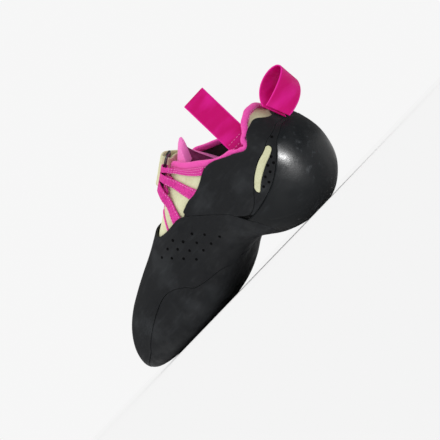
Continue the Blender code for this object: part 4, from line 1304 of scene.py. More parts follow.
    def holes(self) -> None:
        """The punched holes: dark discs of painted shade on the rubber, in the toe patch and in both inserts.
        """
        mirrored = tuple((row, -angle) for row, angle in CRESCENT_HOLES)
        discs("punched_holes", np.array(PATCH_HOLES), 0.00098, 0.00030)
        discs("crescent_holes", np.array(CRESCENT_HOLES + mirrored), 0.00095, 0.00005)

    def build(self) -> None:
        """Every piece of rubber."""
        self.outsole()
        self.patch()
        self.arch()
        self.band()
        self.cup()
        self.inserts()
        self.holes()


def discs(name: str, places: Array, radius: float, lift: float) -> Thing:
    """Flat dark discs on the form, painted shade for the inside of holes: circles of flat directions that are
    square to the normal.

    Args:
        name: the piece's name.
        places: rows and angles of their middles.
        radius: their radius in metres.
        lift: how far they stand over the form.

    Returns:
        One object of all of them.
    """
    around = 16
    spots = Last.spot(places[:, 0], places[:, 1])
    first, _, normal = Last.slopes(spots)
    ring = circle(first, np.cross(normal, first), around) * radius
    middle = (Last.surface(spots) + normal * (lift + ripple(Last.surface(spots)))[:, None])[:, None]
    normal = normal[:, None]
    levels = ((0.55, 0.0), (0.9, 0.00002), (1.0, -0.0001))
    rings = [middle + ring * share + normal * rise for share, rise in levels]
    points = np.concatenate([middle, *rings, middle - normal * 0.0003], 1)
    k = np.arange(around)
    after = (k + 1) % around
    low = 1 + around * (len(levels) - 1)
    top_fan = np.stack([np.zeros(around, int), 1 + k, 1 + after], -1)
    low_fan = np.stack([np.full(around, points.shape[1] - 1), low + after, low + k], -1)
    squares = 1 + cells(np.arange(len(levels) - 1), k, len(levels), around)
    offset = (np.arange(len(places)) * points.shape[1])[:, None, None]
    triangles = (np.concatenate([top_fan, low_fan]) + offset).reshape(-1, 3).tolist()
    mesh = bpy.data.meshes.new(name)
    mesh.from_pydata(points.reshape(-1, 3), [], triangles + (squares + offset).reshape(-1, 4).tolist())
    mesh.shade_smooth()
    thing = bpy.data.objects.new(name, mesh)
    bpy.context.scene.collection.objects.link(thing)
    mesh.materials.append(material_of(HOLE_SHADE))
    return settle(thing, ())


@dataclass(frozen=True)
class Stitch:
    """How a row is sewn: the distance between two stitches, a stitch's length and the thread's radius."""

    pitch: float
    size: float
    radius: float


FACING_STITCH = Stitch(0.0024, 0.0017, 0.00020)
FINGER_STITCH = Stitch(0.0022, 0.0016, 0.00018)
STRAP_STITCH = Stitch(0.0024, 0.0017, 0.00018)
LOOP_STITCH = Stitch(0.0022, 0.0016, 0.00016)


def sampled(wanted: Array, distance: Array, values: Array) -> Array:
    """Vectors along a path at the wanted distances, by linear interpolation."""
    return np.stack([np.interp(wanted, distance, values[:, column]) for column in range(3)], -1)


def stitches(name: str, rows: list[tuple[Array, Array]], finish: Finish, stitch: Stitch) -> Thing:
    """Rows of sewn thread: small capsules along each path, sunk by their radius at their ends.

    Args:
        name: the piece's name.
        rows: each row's path and its outward normals.
        finish: the thread.
        stitch: how it is sewn.

    Returns:
        One object of all the stitches.
    """
    middles, ways, normals = [], [], []
    for path, normal in rows:
        distance = travelled(path)
        wanted = np.arange(0.5 * stitch.pitch, distance[-1], stitch.pitch)
        reach = 0.3 * stitch.size
        middles.append(sampled(wanted, distance, path))
        ways.append(sampled(wanted + reach, distance, path) - sampled(wanted - reach, distance, path))
        normals.append(sampled(wanted, distance, normal))
    middle, way, normal = (np.concatenate(part) for part in (middles, ways, normals))
    way = unit(way)
    normal = unit(normal - way * (normal * way).sum(-1, keepdims=True))
    latitude = np.radians([-90, -50, -15, 15, 50, 90])[:, None, None]
    girth = np.maximum(np.cos(latitude), 0.02) * stitch.radius
    points = middle[:, None, None] + way[:, None, None] * np.sin(latitude) * 0.5 * stitch.size
    points = points + circle(np.cross(way, normal), normal, 6)[:, None] * girth
    points -= normal[:, None, None] * np.sin(latitude) ** 2 * stitch.radius
    caps = np.array([[1, 4, 5, 0], [2, 3, 4, 1], [35, 34, 31, 30], [34, 33, 32, 31]])
    faces = np.concatenate([cells(np.arange(5), np.arange(6), 6, 6), caps])
    faces = (faces + (np.arange(len(middle)) * 36)[:, None, None]).reshape(-1, 4)
    return make(name, points.reshape(-1, 3), faces, finish)


@dataclass
class UpperWork:
    """The upper with its facing strip and bound edge, the insole board and the tongue."""

    seams: Seams
    steps: int = 440
    rows: int = 54
    facing: float = 0.0046
    facing_raise: float = 0.00025
    toe_thinning: float = 0.0008
    stitch_inset: float = 0.0011
    piping: float = 0.00075
    tongue_rise: float = 0.0200
    tongue_edge: float = 0.0014

    def below_edge(self, distance: float) -> tuple[Array, Array, Array]:
        """A line under the collar's edge.

        Args:
            distance: how far under it, in metres.

        Returns:
            Flat places of the line, of the margin that faces it, and of the collar's edge.
        """
        u = np.linspace(0, 1, self.steps + 1)[:-1]
        low, high = Line.walk(self.seams.margin, u), Line.walk(self.seams.collar, u)
        way = np.roll(high, -1, axis=0) - np.roll(high, 1, axis=0)
        return Line.aside(high, way, low, distance), low, high

    def grid(self) -> tuple[Array, Array]:
        """The upper's wall.

        Returns:
            Its flat places, from the margin to the rim, and those of the collar's edge.
        """
        rim, low, high = self.below_edge(BINDING_HEIGHT + FIT_GAP)
        v = np.linspace(0, 1, self.rows + 1)[None, :, None] ** 1.15
        return low[:, None] * (1 - v) + rim[:, None] * v, high

    def covered(self, spots: Array) -> Array:
        """Real distance inside the rubber's top line, negative where the upper shows.

        A place is inside where a line from it along the flat plan crosses the outline an odd number of times.

        Args:
            spots: flat places, in a grid.

        Returns:
            One distance a place.
        """
        band, top = self.seams.rubber_top, self.seams.patch_top
        start = int(np.argmin(span(top - band[0])))
        end = int(np.argmin(span(top - band[-1])))
        outline = np.concatenate([top[start:end + 1], band[::-1]])
        flat = spots.reshape(-1, 2)
        first, last = outline, np.roll(outline, -1, axis=0)
        above = (first[None, :, 1] > flat[:, None, 1]) != (last[None, :, 1] > flat[:, None, 1])
        run = last - first
        slope = run[:, 0] / np.where(run[:, 1] == 0, 1e-12, run[:, 1])
        crossing = first[None, :, 0] + (flat[:, None, 1] - first[None, :, 1]) * slope[None]
        odd = (above & (flat[:, None, 0] < crossing)).sum(1) % 2 == 1
        distance = Line.distance_to(Last.surface(spots), outline)
        return np.where(odd.reshape(spots.shape[:-1]), distance, -distance)

    def wall(self) -> None:
        """The upper: cream microfibre, a pink punched facing along its rim, and painted shade under the
        rubber, along the rubber's edge and on its inside.
        """
        spots, high = self.grid()
        row, turn = np.hypot(spots[..., 0], spots[..., 1]), Last.angle(spots)
        toe = np.clip((6 - row) / 6, 0, 1)
        depth = RUBBER + LAYER_GAP + self.toe_thinning * toe + Last.sole_extra(spots)
        outer, inner = Last.point(spots, depth), Last.point(spots, depth + UPPER_WALL)
        steps = span(np.diff(outer, axis=1))
        rim = np.concatenate([np.cumsum(steps[:, ::-1], 1)[:, ::-1], np.zeros((len(outer), 1))], 1)
        cover = self.covered(spots)
        heel = smooth_step((np.abs(turn) - 110) / 30) * smooth_step((row - 17) / 2)
        strip = self.facing * (1 - 0.75 * heel) * (1 - 0.45 * smooth_step(-turn / 20))
        raise_by = self.facing_raise * smooth_step((strip - rim) / 0.0003 + 0.5) * (cover < 0)
        outer = outer + Last.slopes(spots)[2] * (raise_by + self.creases(spots, cover))[..., None]
        values = {"trim": strip - rim, "cover": cover}
        thing = shell("upper_microfibre", outer, inner, CREAM_SUEDE, ("upper",), True, values)
        thing.data.materials[0] = self.material()
        self.bead(spots, high)

    @staticmethod
    def creases(spots: Array, cover: Array) -> Array:
        """Shallow folds of the cream where the foot bends: bell curves of the row and the angle.

        Args:
            spots: flat places, in a grid.
            cover: each one's distance inside the rubber's line, where the folds fade out.

        Returns:
            How far the cream stands out at each place.
        """
        row, turn = np.hypot(spots[..., 0], spots[..., 1]), Last.angle(spots)
        total = np.zeros_like(row)
        for middle, at, wide, spread, size in CREASES:
            across = (row - middle - 0.02 * (turn - at)) / wide
            total += size * np.exp(-across**2) * np.exp(-(((turn - at) / spread) ** 2))
        return total * smooth_step(-cover / 0.003)

    def material(self) -> bpy.types.Material:
        """Cream and pink zones of one surface, and dark zones of painted shade, by the distances that the
        mesh carries.

        Returns:
            The material.
        """
        network = Network(UPPER_ZONES)
        cream, nap, rough = network.pattern()
        hole, cover = network.dots(0.00125, 0.00032), network.attribute("cover")
        pink = network.mix(network.math("MULTIPLY", hole, 0.75), FACING_PINK, FACING_HOLE)
        strip = network.ramp(network.attribute("trim"), -0.0001, 0.0001)
        colour = network.mix(strip, cream, pink)
        # painted shade: the cream darkens toward the rubber's raised edge
        colour = network.mix(network.ramp(cover, -0.0022, 0.0, 0.0, 0.22), colour, RUBBER_EDGE_SHADE)
        # painted shade: the wall under the rubber is near black, so the rubber's seams read as shaded
        colour = network.mix(network.ramp(cover, 0.0002, 0.0006), colour, UNDER_RUBBER_SHADE)
        # painted shade: the inside face of the wall is coloured dark
        colour = network.mix(network.attribute("inside"), colour, INSIDE_SHADE)
        height = network.math("SUBTRACT", nap, network.math("MULTIPLY", hole, strip))
        return network.finished(colour, height, rough)

    def bead(self, spots: Array, edge: Array) -> None:
        """The bound edge of the collar and throat: a rounded profile carried along the rim.

        Args:
            spots: flat places of the upper's wall, whose last column is its rim.
            edge: flat places of the collar's edge, one a line of the wall.
        """
        normal = Last.slopes(edge)[2]
        middle = RUBBER + LAYER_GAP + 0.5 * UPPER_WALL
        low = Last.point(spots[:, -1], middle)
        out = unit(Last.point(edge, middle) - low)
        base = low + out * FIT_GAP
        rings = [base + out * rise * BINDING_HEIGHT + normal * side * BINDING_WIDTH
                 for rise, side in BEAD_OUTLINE]
        tube("collar_bead", np.stack(rings, 1), PINK_BEAD, ("collar_binding",))

    def seam_rows(self) -> None:
        """Stitches along the facing strip, and the piping on the cream."""
        line = self.below_edge(BINDING_HEIGHT + FIT_GAP + self.stitch_inset)[0]
        line = np.concatenate([line, line[:1]])
        depth = RUBBER + LAYER_GAP
        rows = [(Last.point(line, depth - 0.00035), Last.slopes(line)[2])]
        stitches("facing_stitches", rows, PINK_THREAD, FACING_STITCH)
        seam = Line.seam(VAMP_SEAM)
        self.cord("vamp_piping", Last.point(seam, depth - 0.0002), Last.slopes(seam)[2], self.piping)

    @staticmethod
    def cord(name: str, path: Array, normal: Array, radius: float) -> None:
        """A low round piping along a path: circles of the radius, closed to points at both ends.

        Args:
            name: the piece's name.
            path: the piping's middle line.
            normal: the outward normal at each of its points.
            radius: its radius in metres.
        """
        side = unit(np.cross(np.gradient(path, axis=0), normal))
        ease = np.sqrt(np.clip(1 - np.abs(np.linspace(-1, 1, len(path))) ** 12, 0.0004, 1))
        loops = path[:, None] + circle(side, normal, 12) * ease[:, None, None] * radius
        count, around = loops.shape[:2]
        faces = cells(np.arange(count - 1), np.arange(around), count, around)
        fan = np.arange(1, around - 1, 2)
        caps = np.stack([np.zeros_like(fan), fan, fan + 1, np.minimum(fan + 2, around - 1)], -1)[:-1]
        turn, along = np.linspace(0, 2 * math.pi * radius, around + 1)[:-1], np.linspace(0, 0.02, count)
        uv = np.stack(np.broadcast_arrays(along[:, None], turn[None]), -1).reshape(-1, 2)
        faces = np.concatenate([faces, caps, caps[:, ::-1] + (count - 1) * around])
        make(name, loops.reshape(-1, 3), faces, PINK_BEAD, uv)

    def insole(self) -> None:
        """The insole board, which fills the opening that the margin leaves under the foot."""
        margin = self.seams.margin[:len(self.seams.margin) // 2 + 1]
        near = Line.walk(margin, np.linspace(0.07, 0.97, 130))
        far = near * (1, -1)
        trim = 0.0018 / Line.real_width(near, far)[:, None]
        spots = Line.sections(near, far, trim + (1 - 2 * trim) * np.linspace(0, 1, 40))
        depth = RUBBER + 1.5 * LAYER_GAP + Last.sole_extra(spots)
        outer, inner = Last.point(spots, depth), Last.point(spots, depth + INSOLE_WALL)
        shell("insole_fibre", outer, inner, FIBRE_BOARD, ("insole",))

    def tongue(self) -> None:
        """The tongue: under the throat from its tip, then a free part that rises and narrows."""
        depth = RUBBER + LAYER_GAP + UPPER_WALL + BINDING_WIDTH * 0.5 + FIT_GAP
        angles, rows = np.linspace(*TONGUE_ANGLES, 57), np.linspace(*TONGUE_ROWS, 60)
        spots = Last.spot(rows[:, None], np.repeat(angles[None], len(rows), axis=0))
        above, below = (Last.surface(Last.spot(TONGUE_ROWS[1] + step, 0)) for step in (0.3, -1.2))
        lift = unit(above - below)
        step = np.linspace(0, 1, 34)[1:]
        narrow = np.interp(step, *TONGUE_TAPER)
        top = Last.cubic(np.array(TONGUE_TOP)[:, None], np.linspace(0, len(TONGUE_TOP) - 1, len(angles)))
        seated = [Last.point(spots, depth), Last.point(spots, depth + TONGUE_WALL)]
        centre = 0.5 * (seated[0][-1, 0, 1] + seated[0][-1, -1, 1])
        faces = []
        for face in seated:
            rise = face[-1][None] + lift * self.tongue_rise * step[:, None, None] * top[None]
            rise[..., 1] = centre + (face[-1][None, :, 1] - centre) * narrow[:, None]
            faces.append(np.concatenate([face, rise]))
        middle, half = 0.5 * (faces[0] + faces[1]), 0.5 * (faces[0] - faces[1])
        edges = (middle[:, :1], middle[:, -1:], middle[-1:])
        edge = np.min([span(middle - line) for line in edges], axis=0)
        thin = np.sqrt(1 - (1 - np.clip(edge / self.tongue_edge, 0.02, 1)) ** 2)[..., None]
        shell("tongue_padding", middle + half * thin, middle - half * thin, TONGUE_PINK, ("tongue",),
              values={"edge": edge})

    def build(self) -> None:
        """The upper, its seams, the insole and the tongue."""
        self.wall()
        self.seam_rows()
        self.insole()
        self.tongue()


@dataclass
class Ribbon:
    """A flat woven strip carried along a middle surface, with soft rounded edges."""

    wall: float
    finish: Finish
    round_edge: float = 0.0005
    finer_along: int = 7
    finer_across: int = 9

    def refine(self, grid: Array) -> Array:
        """A finer grid through a coarse one: Catmull-Rom along the path, and across it.

        Args:
            grid: the coarse grid, with its lines across the strip.

        Returns:
            The finer grid.
        """
        count_u, count_v = grid.shape[:2]
        dense = Last.cubic(grid, np.linspace(0, count_u - 1, (count_u - 1) * self.finer_along + 1))
        turned = dense.transpose(1, 0, 2)
        if count_v == 2:
            t = np.linspace(0, 1, 2 * self.finer_across + 1)[:, None, None]
            turned = turned[:1] * (1 - t) + turned[1:] * t
        else:
            turned = Last.cubic(turned, np.linspace(0, count_v - 1, (count_v - 1) * self.finer_across + 1))
        return turned.transpose(1, 0, 2)

    def faces(self, grid: Array) -> tuple[Array, Array, Array]:
        """Both faces of the strip: half the wall each way along the normal, thinned at the borders.

        Args:
            grid: the middle surface.

        Returns:
            The outer face, the inner face and the normal.
        """
        breadth = np.broadcast_to(grid[:, -1:] - grid[:, :1], grid.shape)
        normal = unit(np.cross(breadth, np.gradient(grid, axis=0)))
        across = span(grid - grid[:, :1])
        edge = np.minimum(across, across[:, -1:] - across)
        thin = np.sqrt(1 - (1 - np.clip(edge / self.round_edge, 0.0, 1)) ** 2 * 0.92)
        half = 0.5 * self.wall * normal * thin[..., None]
        return grid + half, grid - half, normal

    def build(self, name: str, coarse: Array, nodes: tuple[str, ...]) -> tuple[Array, Array]:
        """Make the strip.

        Args:
            name: the piece's name.
            coarse: the coarse grid of its middle surface.
            nodes: the solids that it stands for.

        Returns:
            The fine middle surface and its normals, for the stitches on it.
        """
        grid = self.refine(coarse)
        outer, inner, normal = self.faces(grid)
        shell(name, outer, inner, self.finish, nodes)
        return grid, normal


@dataclass
class Fastening:
    """The ring, the three webbing fingers that hold it, and the strap that runs through it."""

    wire: float = 0.0010
    ring_length: float = 0.0285
    ring_width: float = 0.0090
    corner: float = 0.0022
    lift: float = 0.0022
    bar_reach: float = 0.0100
    tape: float = 0.0010
    tape_bow: float = 0.0004
    strap: float = 0.0016
    strap_width: float = 0.0215
    strap_flap: float = 0.82
    strap_bulge: float = 0.0036
    bulge_from: float = 0.004
    bulge_reach: float = 0.008
    thread_lift: float = 0.00008
    strap_thread_lift: float = 0.00005
    ring_row: float = RING_ROW

    def __post_init__(self) -> None:
        """The ring's centre and its unit vectors along the ridge, toward the big toe's side and outward."""
        bar = Last.spot(self.ring_row, RING_BAR_ANGLE)
        above, below = (Last.surface(Last.spot(self.ring_row + step, RING_BAR_ANGLE)) for step in (1.0, -1.0))
        ridge = unit(above - below)
        outward = Last.slopes(Last.spot(self.ring_row, 0.5 * RING_BAR_ANGLE))[2]
        outward = unit(outward - ridge * outward.dot(ridge))
        toward = np.cross(outward, ridge)
        toward *= -math.copysign(1.0, toward[1])
        self.centre = Last.point(bar, -self.lift) - toward * 0.5 * self.ring_width
        self.ridge, self.toward, self.outward = ridge, toward, outward

    def ring(self) -> None:
        """The ring: round wire carried along a long link with quarter-circle corners."""
        half = np.array((0.5 * self.ring_length, 0.5 * self.ring_width)) - self.corner
        angle = np.radians(np.concatenate([90 * quarter + np.linspace(0, 90, 9) for quarter in range(4)]))
        signs = np.repeat(np.array(((1, 1), (-1, 1), (-1, -1), (1, -1))), 9, axis=0)
        place = half * signs + self.corner * np.stack([np.cos(angle), np.sin(angle)], -1)
        out = self.ridge * np.cos(angle)[:, None] + self.toward * np.sin(angle)[:, None]
        middle = self.centre + self.ridge * place[:, :1] + self.toward * place[:, 1:]
        loops = middle[:, None] + self.wire * circle(out, np.broadcast_to(self.outward, out.shape), 16)
        tube("ring_link", loops, RING_WIRE_STEEL, ("ring",))

    def wrap(self, near: list[Place], radius: float, far: list[Place]) -> Array:
        """A folded tape's path: under the bar, a half circle round it, and away.

        Args:
            near: distances and heights of the part under the bar.
            radius: the half circle's radius.
            far: distances and heights of the part that leads away.

        Returns:
            The path's distances and heights.
        """
        turn = np.radians(np.linspace(270, 90, 7))
        bend = [(radius * math.cos(angle), self.lift + radius * math.sin(angle)) for angle in turn]
        return np.array(list(near) + bend + list(far))

    def round_bar(self, grid: Array, path: Array, bar: Array, away: Array) -> Array:
        """Points of a folded tape: on the form at grid, blended to a turn round a straight bar near it.

        Args:
            grid: the tape's points on the form.
            path: its distances and heights.
            bar: the bar's middle.
            away: the direction in which the tape leaves it.

        Returns:
            The tape's points.
        """
        along = (grid[np.argmin(path[:, 0])] - bar) @ self.ridge
        distance, height = path[:, 0, None, None], path[:, 1, None, None]
        at_bar = bar + self.ridge * along[None, :, None] + away * distance
        at_bar = at_bar + self.outward * (height - self.lift)
        blend = smooth_step(distance / self.bar_reach)
        return at_bar * (1 - blend) + grid * blend

    def fingers(self) -> None:
        """Three webbing fingers, each folded round the ring's near bar, with rows of stitches."""
        bar = self.centre + self.toward * 0.5 * self.ring_width
        radius = self.wire + FIT_GAP + 0.5 * self.tape
        rest = -(RUBBER + LAYER_GAP - FIT_GAP - 0.5 * self.tape - self.tape_bow)
        rows = []
        for name, (places, *ends) in FINGERS.items():
            t = np.linspace(0, 1, 12)
            edges = [Last.spot(row + (end[0] - row) * t, RING_BAR_ANGLE + (end[1] - RING_BAR_ANGLE) * t)
                     for row, end in zip(places, ends)]
            reach = min(Line.length(edge) for edge in edges)
            near = [(0.0085, rest), (0.0045, 0.2 * rest)]
            far = [(0.0040, self.lift + 0.75 * radius), (0.0085, 0.0019), (0.0125, 0.3 * rest)]
            far += [(reach * part, rest) for part in (0.58, 0.72, 0.86, 0.985)]
            path = self.wrap(near, radius, far)
            share = np.maximum(path[:, 0], 0) / reach
            t = np.linspace(0, 1, 3)[None, :, None]
            spots = Line.walk(edges[0], share)[:, None] * (1 - t) + Line.walk(edges[1], share)[:, None] * t
            middle = self.round_bar(Last.point(spots, -path[:, 1][:, None]), path, bar, self.toward)
            grid, normal = Ribbon(self.tape, PINK_WEBBING).build(name + "_webbing", middle, (name,))
            sewn = slice(int(len(grid) * 0.66), -3)
            above = Last.slopes(Last.spot(12.5, 40))[2]
            for column in (2, 16) + ((9,) if name == "finger_top" else ()):
                line, up = grid[sewn, column], normal[sewn, column]
                rows.append(self.thread(line, up, above, self.tape, self.thread_lift))
        stitches("finger_stitches", rows, PINK_THREAD, FINGER_STITCH)

    @staticmethod
    def thread(line: Array, normal: Array, above: Array, wall: float, lift: float) -> tuple[Array, Array]:
        """A row of thread on a tape's upper face.

        Args:
            line: the row's path on the tape's middle surface.
            normal: the normals there, of either sign.
            above: a direction on the upper side.
            wall: the tape's thickness.
            lift: how far the thread stands over the face.

        Returns:
            The row's path and its outward normals.
        """
        up = normal * np.sign((normal * above).sum(-1, keepdims=True))
        return line + up * (0.5 * wall + lift), up

    def strap_piece(self) -> None:
        """The strap: sewn on the little toe's side, through the ring and folded back over itself."""
        bar = self.centre - self.toward * 0.5 * self.ring_width
        radius = self.wire + FIT_GAP + 0.5 * self.strap
        fine = np.linspace(RING_BAR_ANGLE, STRAP_ANCHOR_ANGLE, 140)
        line = Last.spot(np.full(len(fine), self.ring_row), fine)
        start = int(np.argmin(span(Last.surface(line) - (bar - self.outward * self.lift))))
        line, fine = line[start:], fine[start:]
        distance = Line.travelled(line)
        reach = distance[-1]
        rest = -(RUBBER + LAYER_GAP - FIT_GAP - 0.5 * self.strap - self.tape_bow)
        bead = 0.5 * (BINDING_WIDTH - UPPER_WALL + self.strap) - RUBBER - LAYER_GAP + FIT_GAP + self.tape_bow
        stack = self.strap + FIT_GAP + self.tape_bow
        near = [(reach * part, rest) for part in (1.0, 0.9, 0.8)] + [(reach * 0.7, 0.5 * (rest + bead))]
        near += [(reach * part, bead) for part in (0.6, 0.48, 0.36, 0.24, 0.12)]
        far = [(0.12 * reach, self.lift + 0.75 * radius)]
        far += [(reach * part, bead + stack) for part in (0.26, 0.38, 0.5, 0.6)]
        far += [(reach * 0.7, 0.5 * (rest + bead) + stack), (reach * self.strap_flap, rest + stack)]
        path = self.wrap(near, radius, far)
        turn = path[:, 0].argmin()
        away = (path[turn + 1:, 0] - self.bulge_from) / self.bulge_reach
        path[turn + 1:, 1] += self.strap_bulge * np.exp(-(away**2))
        angles = np.interp(np.maximum(path[:, 0], 0), distance, fine)
        middle = self.round_bar(Last.point(self.lane(angles), -path[:, 1][:, None]), path, bar, -self.toward)
        grid, normal = Ribbon(self.strap, CREAM_SUEDE, 0.0007).build("strap_microfibre", middle, ("strap",))
        above, sewn = Last.slopes(Last.spot(12.5, -20))[2], slice(int(len(grid) * 0.72), -4)
        rows = [self.thread(grid[part], normal[part], above, self.strap, self.strap_thread_lift)
                for part in ((sewn, 2), (sewn, -3), (-8, slice(2, -2)))]
        stitches("strap_stitches", rows, CREAM_THREAD, STRAP_STITCH)

    def lane(self, angles: Array) -> Array:
        """Flat places of the strap's band along the ring's row: each line across it is the width long.

        Args:
            angles: the angle of each line.

        Returns:
            Four places a line.
        """
        centre = Last.spot(np.full(len(angles), self.ring_row), angles)
        further = Last.spot(np.full(len(angles), self.ring_row + 0.2), angles)
        scale = span(Last.surface(further) - Last.surface(centre)) / 0.2
        rows = self.ring_row + np.linspace(-0.5, 0.5, 4)[None, :] * self.strap_width / scale[:, None]
        return Last.spot(rows, np.repeat(np.array(angles)[:, None], 4, axis=1))

    def build(self) -> None:
        """The ring, the fingers and the strap."""
        self.ring()
        self.fingers()
        self.strap_piece()


@dataclass
class PullLoops:
    """The two ribbon loops: one standing inside the collar, one fallen to the side behind the heel."""

    width: float = 0.0165
    wall: float = 0.0009
    height: float = 0.0360
    seat: float = 0.0080
    fold: float = 0.0012
    clearance: float = 0.0016
    tilt: float = 0.05
    rear_length: float = 0.0300
    rear_depth: float = 0.0150
    rear_lift: float = 0.0021
    rear_way: tuple[float, float, float] = (0.34, 0.80, 0.50)
    rear_side: tuple[float, float, float] = (-0.36, 0.55, -0.75)
    rear_start: float = 0.065
    rear_fullness: float = 0.6
    stitch_levels: tuple[float, float] = (0.035, 0.055)

    def medial(self) -> None:
        """The loop inside the collar: a flat fold of ribbon standing up, with its own seat of stitches."""
        across = np.linspace(-0.5, 0.5, 2) * self.width
        bead_depth = RUBBER + LAYER_GAP + 0.5 * (UPPER_WALL + BINDING_WIDTH)
        front, rear = (Last.point(Last.spot(*place), bead_depth + self.clearance) for place in PULL_ENDS)
        along = unit((rear - front) * (1, 1, 0))
        inward = np.array([-along[1], along[0], 0.0])
        inward *= math.copysign(1.0, inward[1])
        base = 0.5 * (front + rear) - np.array([0, 0, self.seat])
        height = self.height + self.seat
        path = [(0.0, share * height) for share in (0.0, 0.5, 1.0)]
        for angle in np.radians((135, 90, 45)):
            path.append((self.fold * (1 + math.cos(angle)), height + self.fold * math.sin(angle)))
        path += [(2 * self.fold, share * height) for share in (1.0, 0.5, 0.1)]
        rise = np.array([0, 0, 1.0]) + inward * self.tilt
        lines = np.array([[base + along * w + inward * x + rise * z for w in across] for x, z in path])
        ribbon = Ribbon(self.wall, RIBBON_SATIN, finer_along=12, finer_across=12)
        grid, normal = ribbon.build("medial_loop_ribbon", lines, ("pull_loop_medial",))
        outside = normal * -np.sign((normal[:1] * inward).sum(-1, keepdims=True))
        rows = []
        for share in self.stitch_levels:
            level = int(len(grid) * share), slice(2, -2)
            rows.append((grid[level] + outside[level] * 0.5 * self.wall, outside[level]))
        stitches("medial_loop_stitches", rows, PINK_THREAD, LOOP_STITCH)

    def rear(self) -> None:
        """The loop behind the heel: a teardrop of ribbon that leans to the little toe's side."""
        high, low = (Last.point(Last.spot(row, 180), -self.rear_lift) for row in REAR_LOOP_ROWS)
        way, sewn = unit(np.array(self.rear_way)), unit(low - high)
        tip = unit(np.cross(np.cross(way, self.rear_side), way))
        breadth = np.cross(way, tip)
        around = np.linspace(self.rear_start, 1 - self.rear_start, 17) * 2 * math.pi
        away = 0.5 * self.rear_length * (math.cos(around[0]) - np.cos(around))
        aside_way = 0.575 * self.rear_depth * np.sin(around) * np.sin(0.5 * around) ** self.rear_fullness
        middle = 0.5 * (high + low) + way * away[:, None] + breadth * aside_way[:, None]
        share = np.sin(0.5 * around)[:, None] ** 2
        side = unit(sewn * (1 - share) + tip * share)
        lines = middle[:, None] + side[:, None] * (np.array((-0.5, 0.0, 0.5))[:, None] * self.width)
        ribbon = Ribbon(self.wall, RIBBON_SATIN, finer_along=9, finer_across=11)
        ribbon.build("rear_loop_ribbon", lines, ("pull_loop_rear",))

    def build(self) -> None:
        """Both loops."""
        self.medial()
        self.rear()


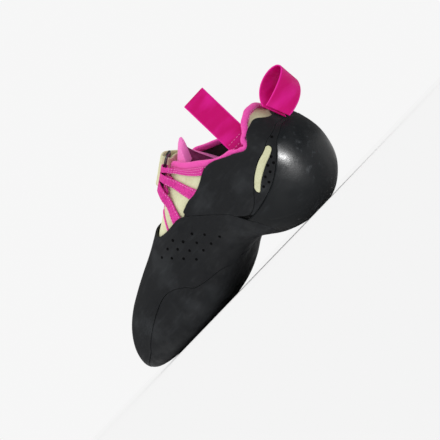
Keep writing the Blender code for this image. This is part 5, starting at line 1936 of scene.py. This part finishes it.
@dataclass
class Studio:
    """The floor, the light and the camera."""

    target: tuple[float, float, float] = (-0.075, 0.0, 0.045)
    eye: tuple[float, float, float] = (0.3728, -0.5263, 0.003)
    right: tuple[float, float, float] = (0.470, 0.515, -0.717)
    lens: float = 83.9
    shift: tuple[float, float] = (0.0257, 0.0164)
    soft: float = 0.70
    mirrored: float = 0.16
    behind: float = 0.925
    floor_reach: float = 60.0
    paper: float = 0.86
    sun: float = 1.22
    sun_breadth: float = 60.0
    sun_way: tuple[float, float, float] = (0.1, 0.45, -1.0)
    gloss_place: Place = (18.1, 128)
    gloss_distance: float = 0.5
    gloss_size: float = 0.065
    gloss_power: float = 125.0
    gloss_cone: float = 13.0
    gloss_lowest: float = 0.06

    @staticmethod
    def placed(name: str, data: bpy.types.ID) -> Thing:
        """A new object for a mesh, a light or a camera, put into the scene."""
        thing = bpy.data.objects.new(name, data)
        bpy.context.scene.collection.objects.link(thing)
        return thing

    def floor(self) -> None:
        """A wide pale floor under the shoe: one square sheet."""
        mesh = bpy.data.meshes.new("floor")
        signs = ((-1, -1), (1, -1), (1, 1), (-1, 1))
        corners = [(x * self.floor_reach, y * self.floor_reach, 0) for x, y in signs]
        mesh.from_pydata(corners, [], [(0, 1, 2, 3)])
        material = bpy.data.materials.new("floor_paper")
        material.use_nodes = True
        shader = material.node_tree.nodes["Principled BSDF"]
        shader.inputs["Base Color"].default_value = (self.paper, self.paper, self.paper, 1)
        shader.inputs["Roughness"].default_value = 1.0
        shader.inputs["Specular IOR Level"].default_value = 0.0
        mesh.materials.append(material)
        self.placed("floor", mesh)

    def world(self) -> None:
        """An even pale surround: bright behind the shoe, softer as a light."""
        world = bpy.data.worlds.new("studio")
        bpy.context.scene.world = world
        world.use_nodes = True
        tree = world.node_tree
        tree.nodes.clear()
        output = tree.nodes.new("ShaderNodeOutputWorld")
        path = tree.nodes.new("ShaderNodeLightPath")
        strengths = {"": self.soft, "Is Glossy Ray": self.mirrored, "Is Camera Ray": self.behind}
        joined = None
        for ray, strength in strengths.items():
            background = tree.nodes.new("ShaderNodeBackground")
            background.inputs["Color"].default_value = (1, 1, 1, 1)
            background.inputs["Strength"].default_value = strength
            if joined is None:
                joined = background
                continue
            mix = tree.nodes.new("ShaderNodeMixShader")
            sources = (path.outputs[ray], joined.outputs[0], background.outputs[0])
            for socket, source in zip(mix.inputs, sources):
                tree.links.new(source, socket)
            joined = mix
        tree.links.new(joined.outputs[0], output.inputs[0])

    @staticmethod
    def aimed(thing: Thing, way: Array) -> None:
        """Turn a lamp to shine along a direction."""
        thing.rotation_euler = Vector(way).to_track_quat("-Z", "Y").to_euler()

    def lamps(self) -> None:
        """A broad even light from above, and a small one that shines on the cup alone.

        The small one stands where the cup's gloss mirrors it toward the photograph's viewer.
        """
        data = bpy.data.lights.new("sky_light", "SUN")
        data.energy, data.angle = self.sun, math.radians(self.sun_breadth)
        self.aimed(self.placed("sky_light", data), self.sun_way)
        spot = Last.spot(*self.gloss_place)
        place, normal = Last.surface(spot), Last.slopes(spot)[2]
        view = unit(np.array(self.eye) - place)
        mirror = 2 * normal.dot(view) * normal - view
        mirror[2] = max(mirror[2], self.gloss_lowest)
        data = bpy.data.lights.new("heel_light", "SPOT")
        data.shadow_soft_size, data.energy = self.gloss_size, self.gloss_power
        data.spot_size, data.spot_blend = math.radians(self.gloss_cone), 0.9
        light = self.placed("heel_light", data)
        light.location = place + mirror * self.gloss_distance
        self.aimed(light, -mirror)
        only = bpy.data.collections.new("gloss_rubber_light")
        only.objects.link(bpy.data.objects["heel_cup_rubber"])
        light.light_linking.receiver_collection = only

    def camera(self) -> None:
        """The camera at the photograph's angle, turned round its own axis as the photograph is."""
        eye, target = np.array(self.eye), np.array(self.target)
        back = unit(eye - target)
        right = unit(np.array(self.right) - back * back.dot(self.right))
        up = np.cross(back, right)
        data = bpy.data.cameras.new("camera")
        data.lens, data.sensor_width = self.lens, 36.0
        data.shift_x, data.shift_y = self.shift
        data.clip_start = 0.01
        thing = self.placed("camera", data)
        turn = Matrix(np.stack([right, up, back], 1).tolist()).to_4x4()
        thing.matrix_world = Matrix.Translation(Vector(eye)) @ turn
        bpy.context.scene.camera = thing

    def build(self) -> None:
        """Floor, light and camera."""
        self.floor()
        self.world()
        self.lamps()
        self.camera()
        bpy.context.scene.view_settings.view_transform = "Standard"


def main() -> None:
    """Build every sub-assembly."""
    logging.basicConfig(level=logging.INFO, format="%(name)s: %(message)s")
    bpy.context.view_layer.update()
    seams = Seams()
    for work in (RubberWork(seams), UpperWork(seams), Fastening(), PullLoops(), Studio()):
        LOG.info("building %s", type(work).__name__)
        work.build()


if __name__ == "__main__":
    main()
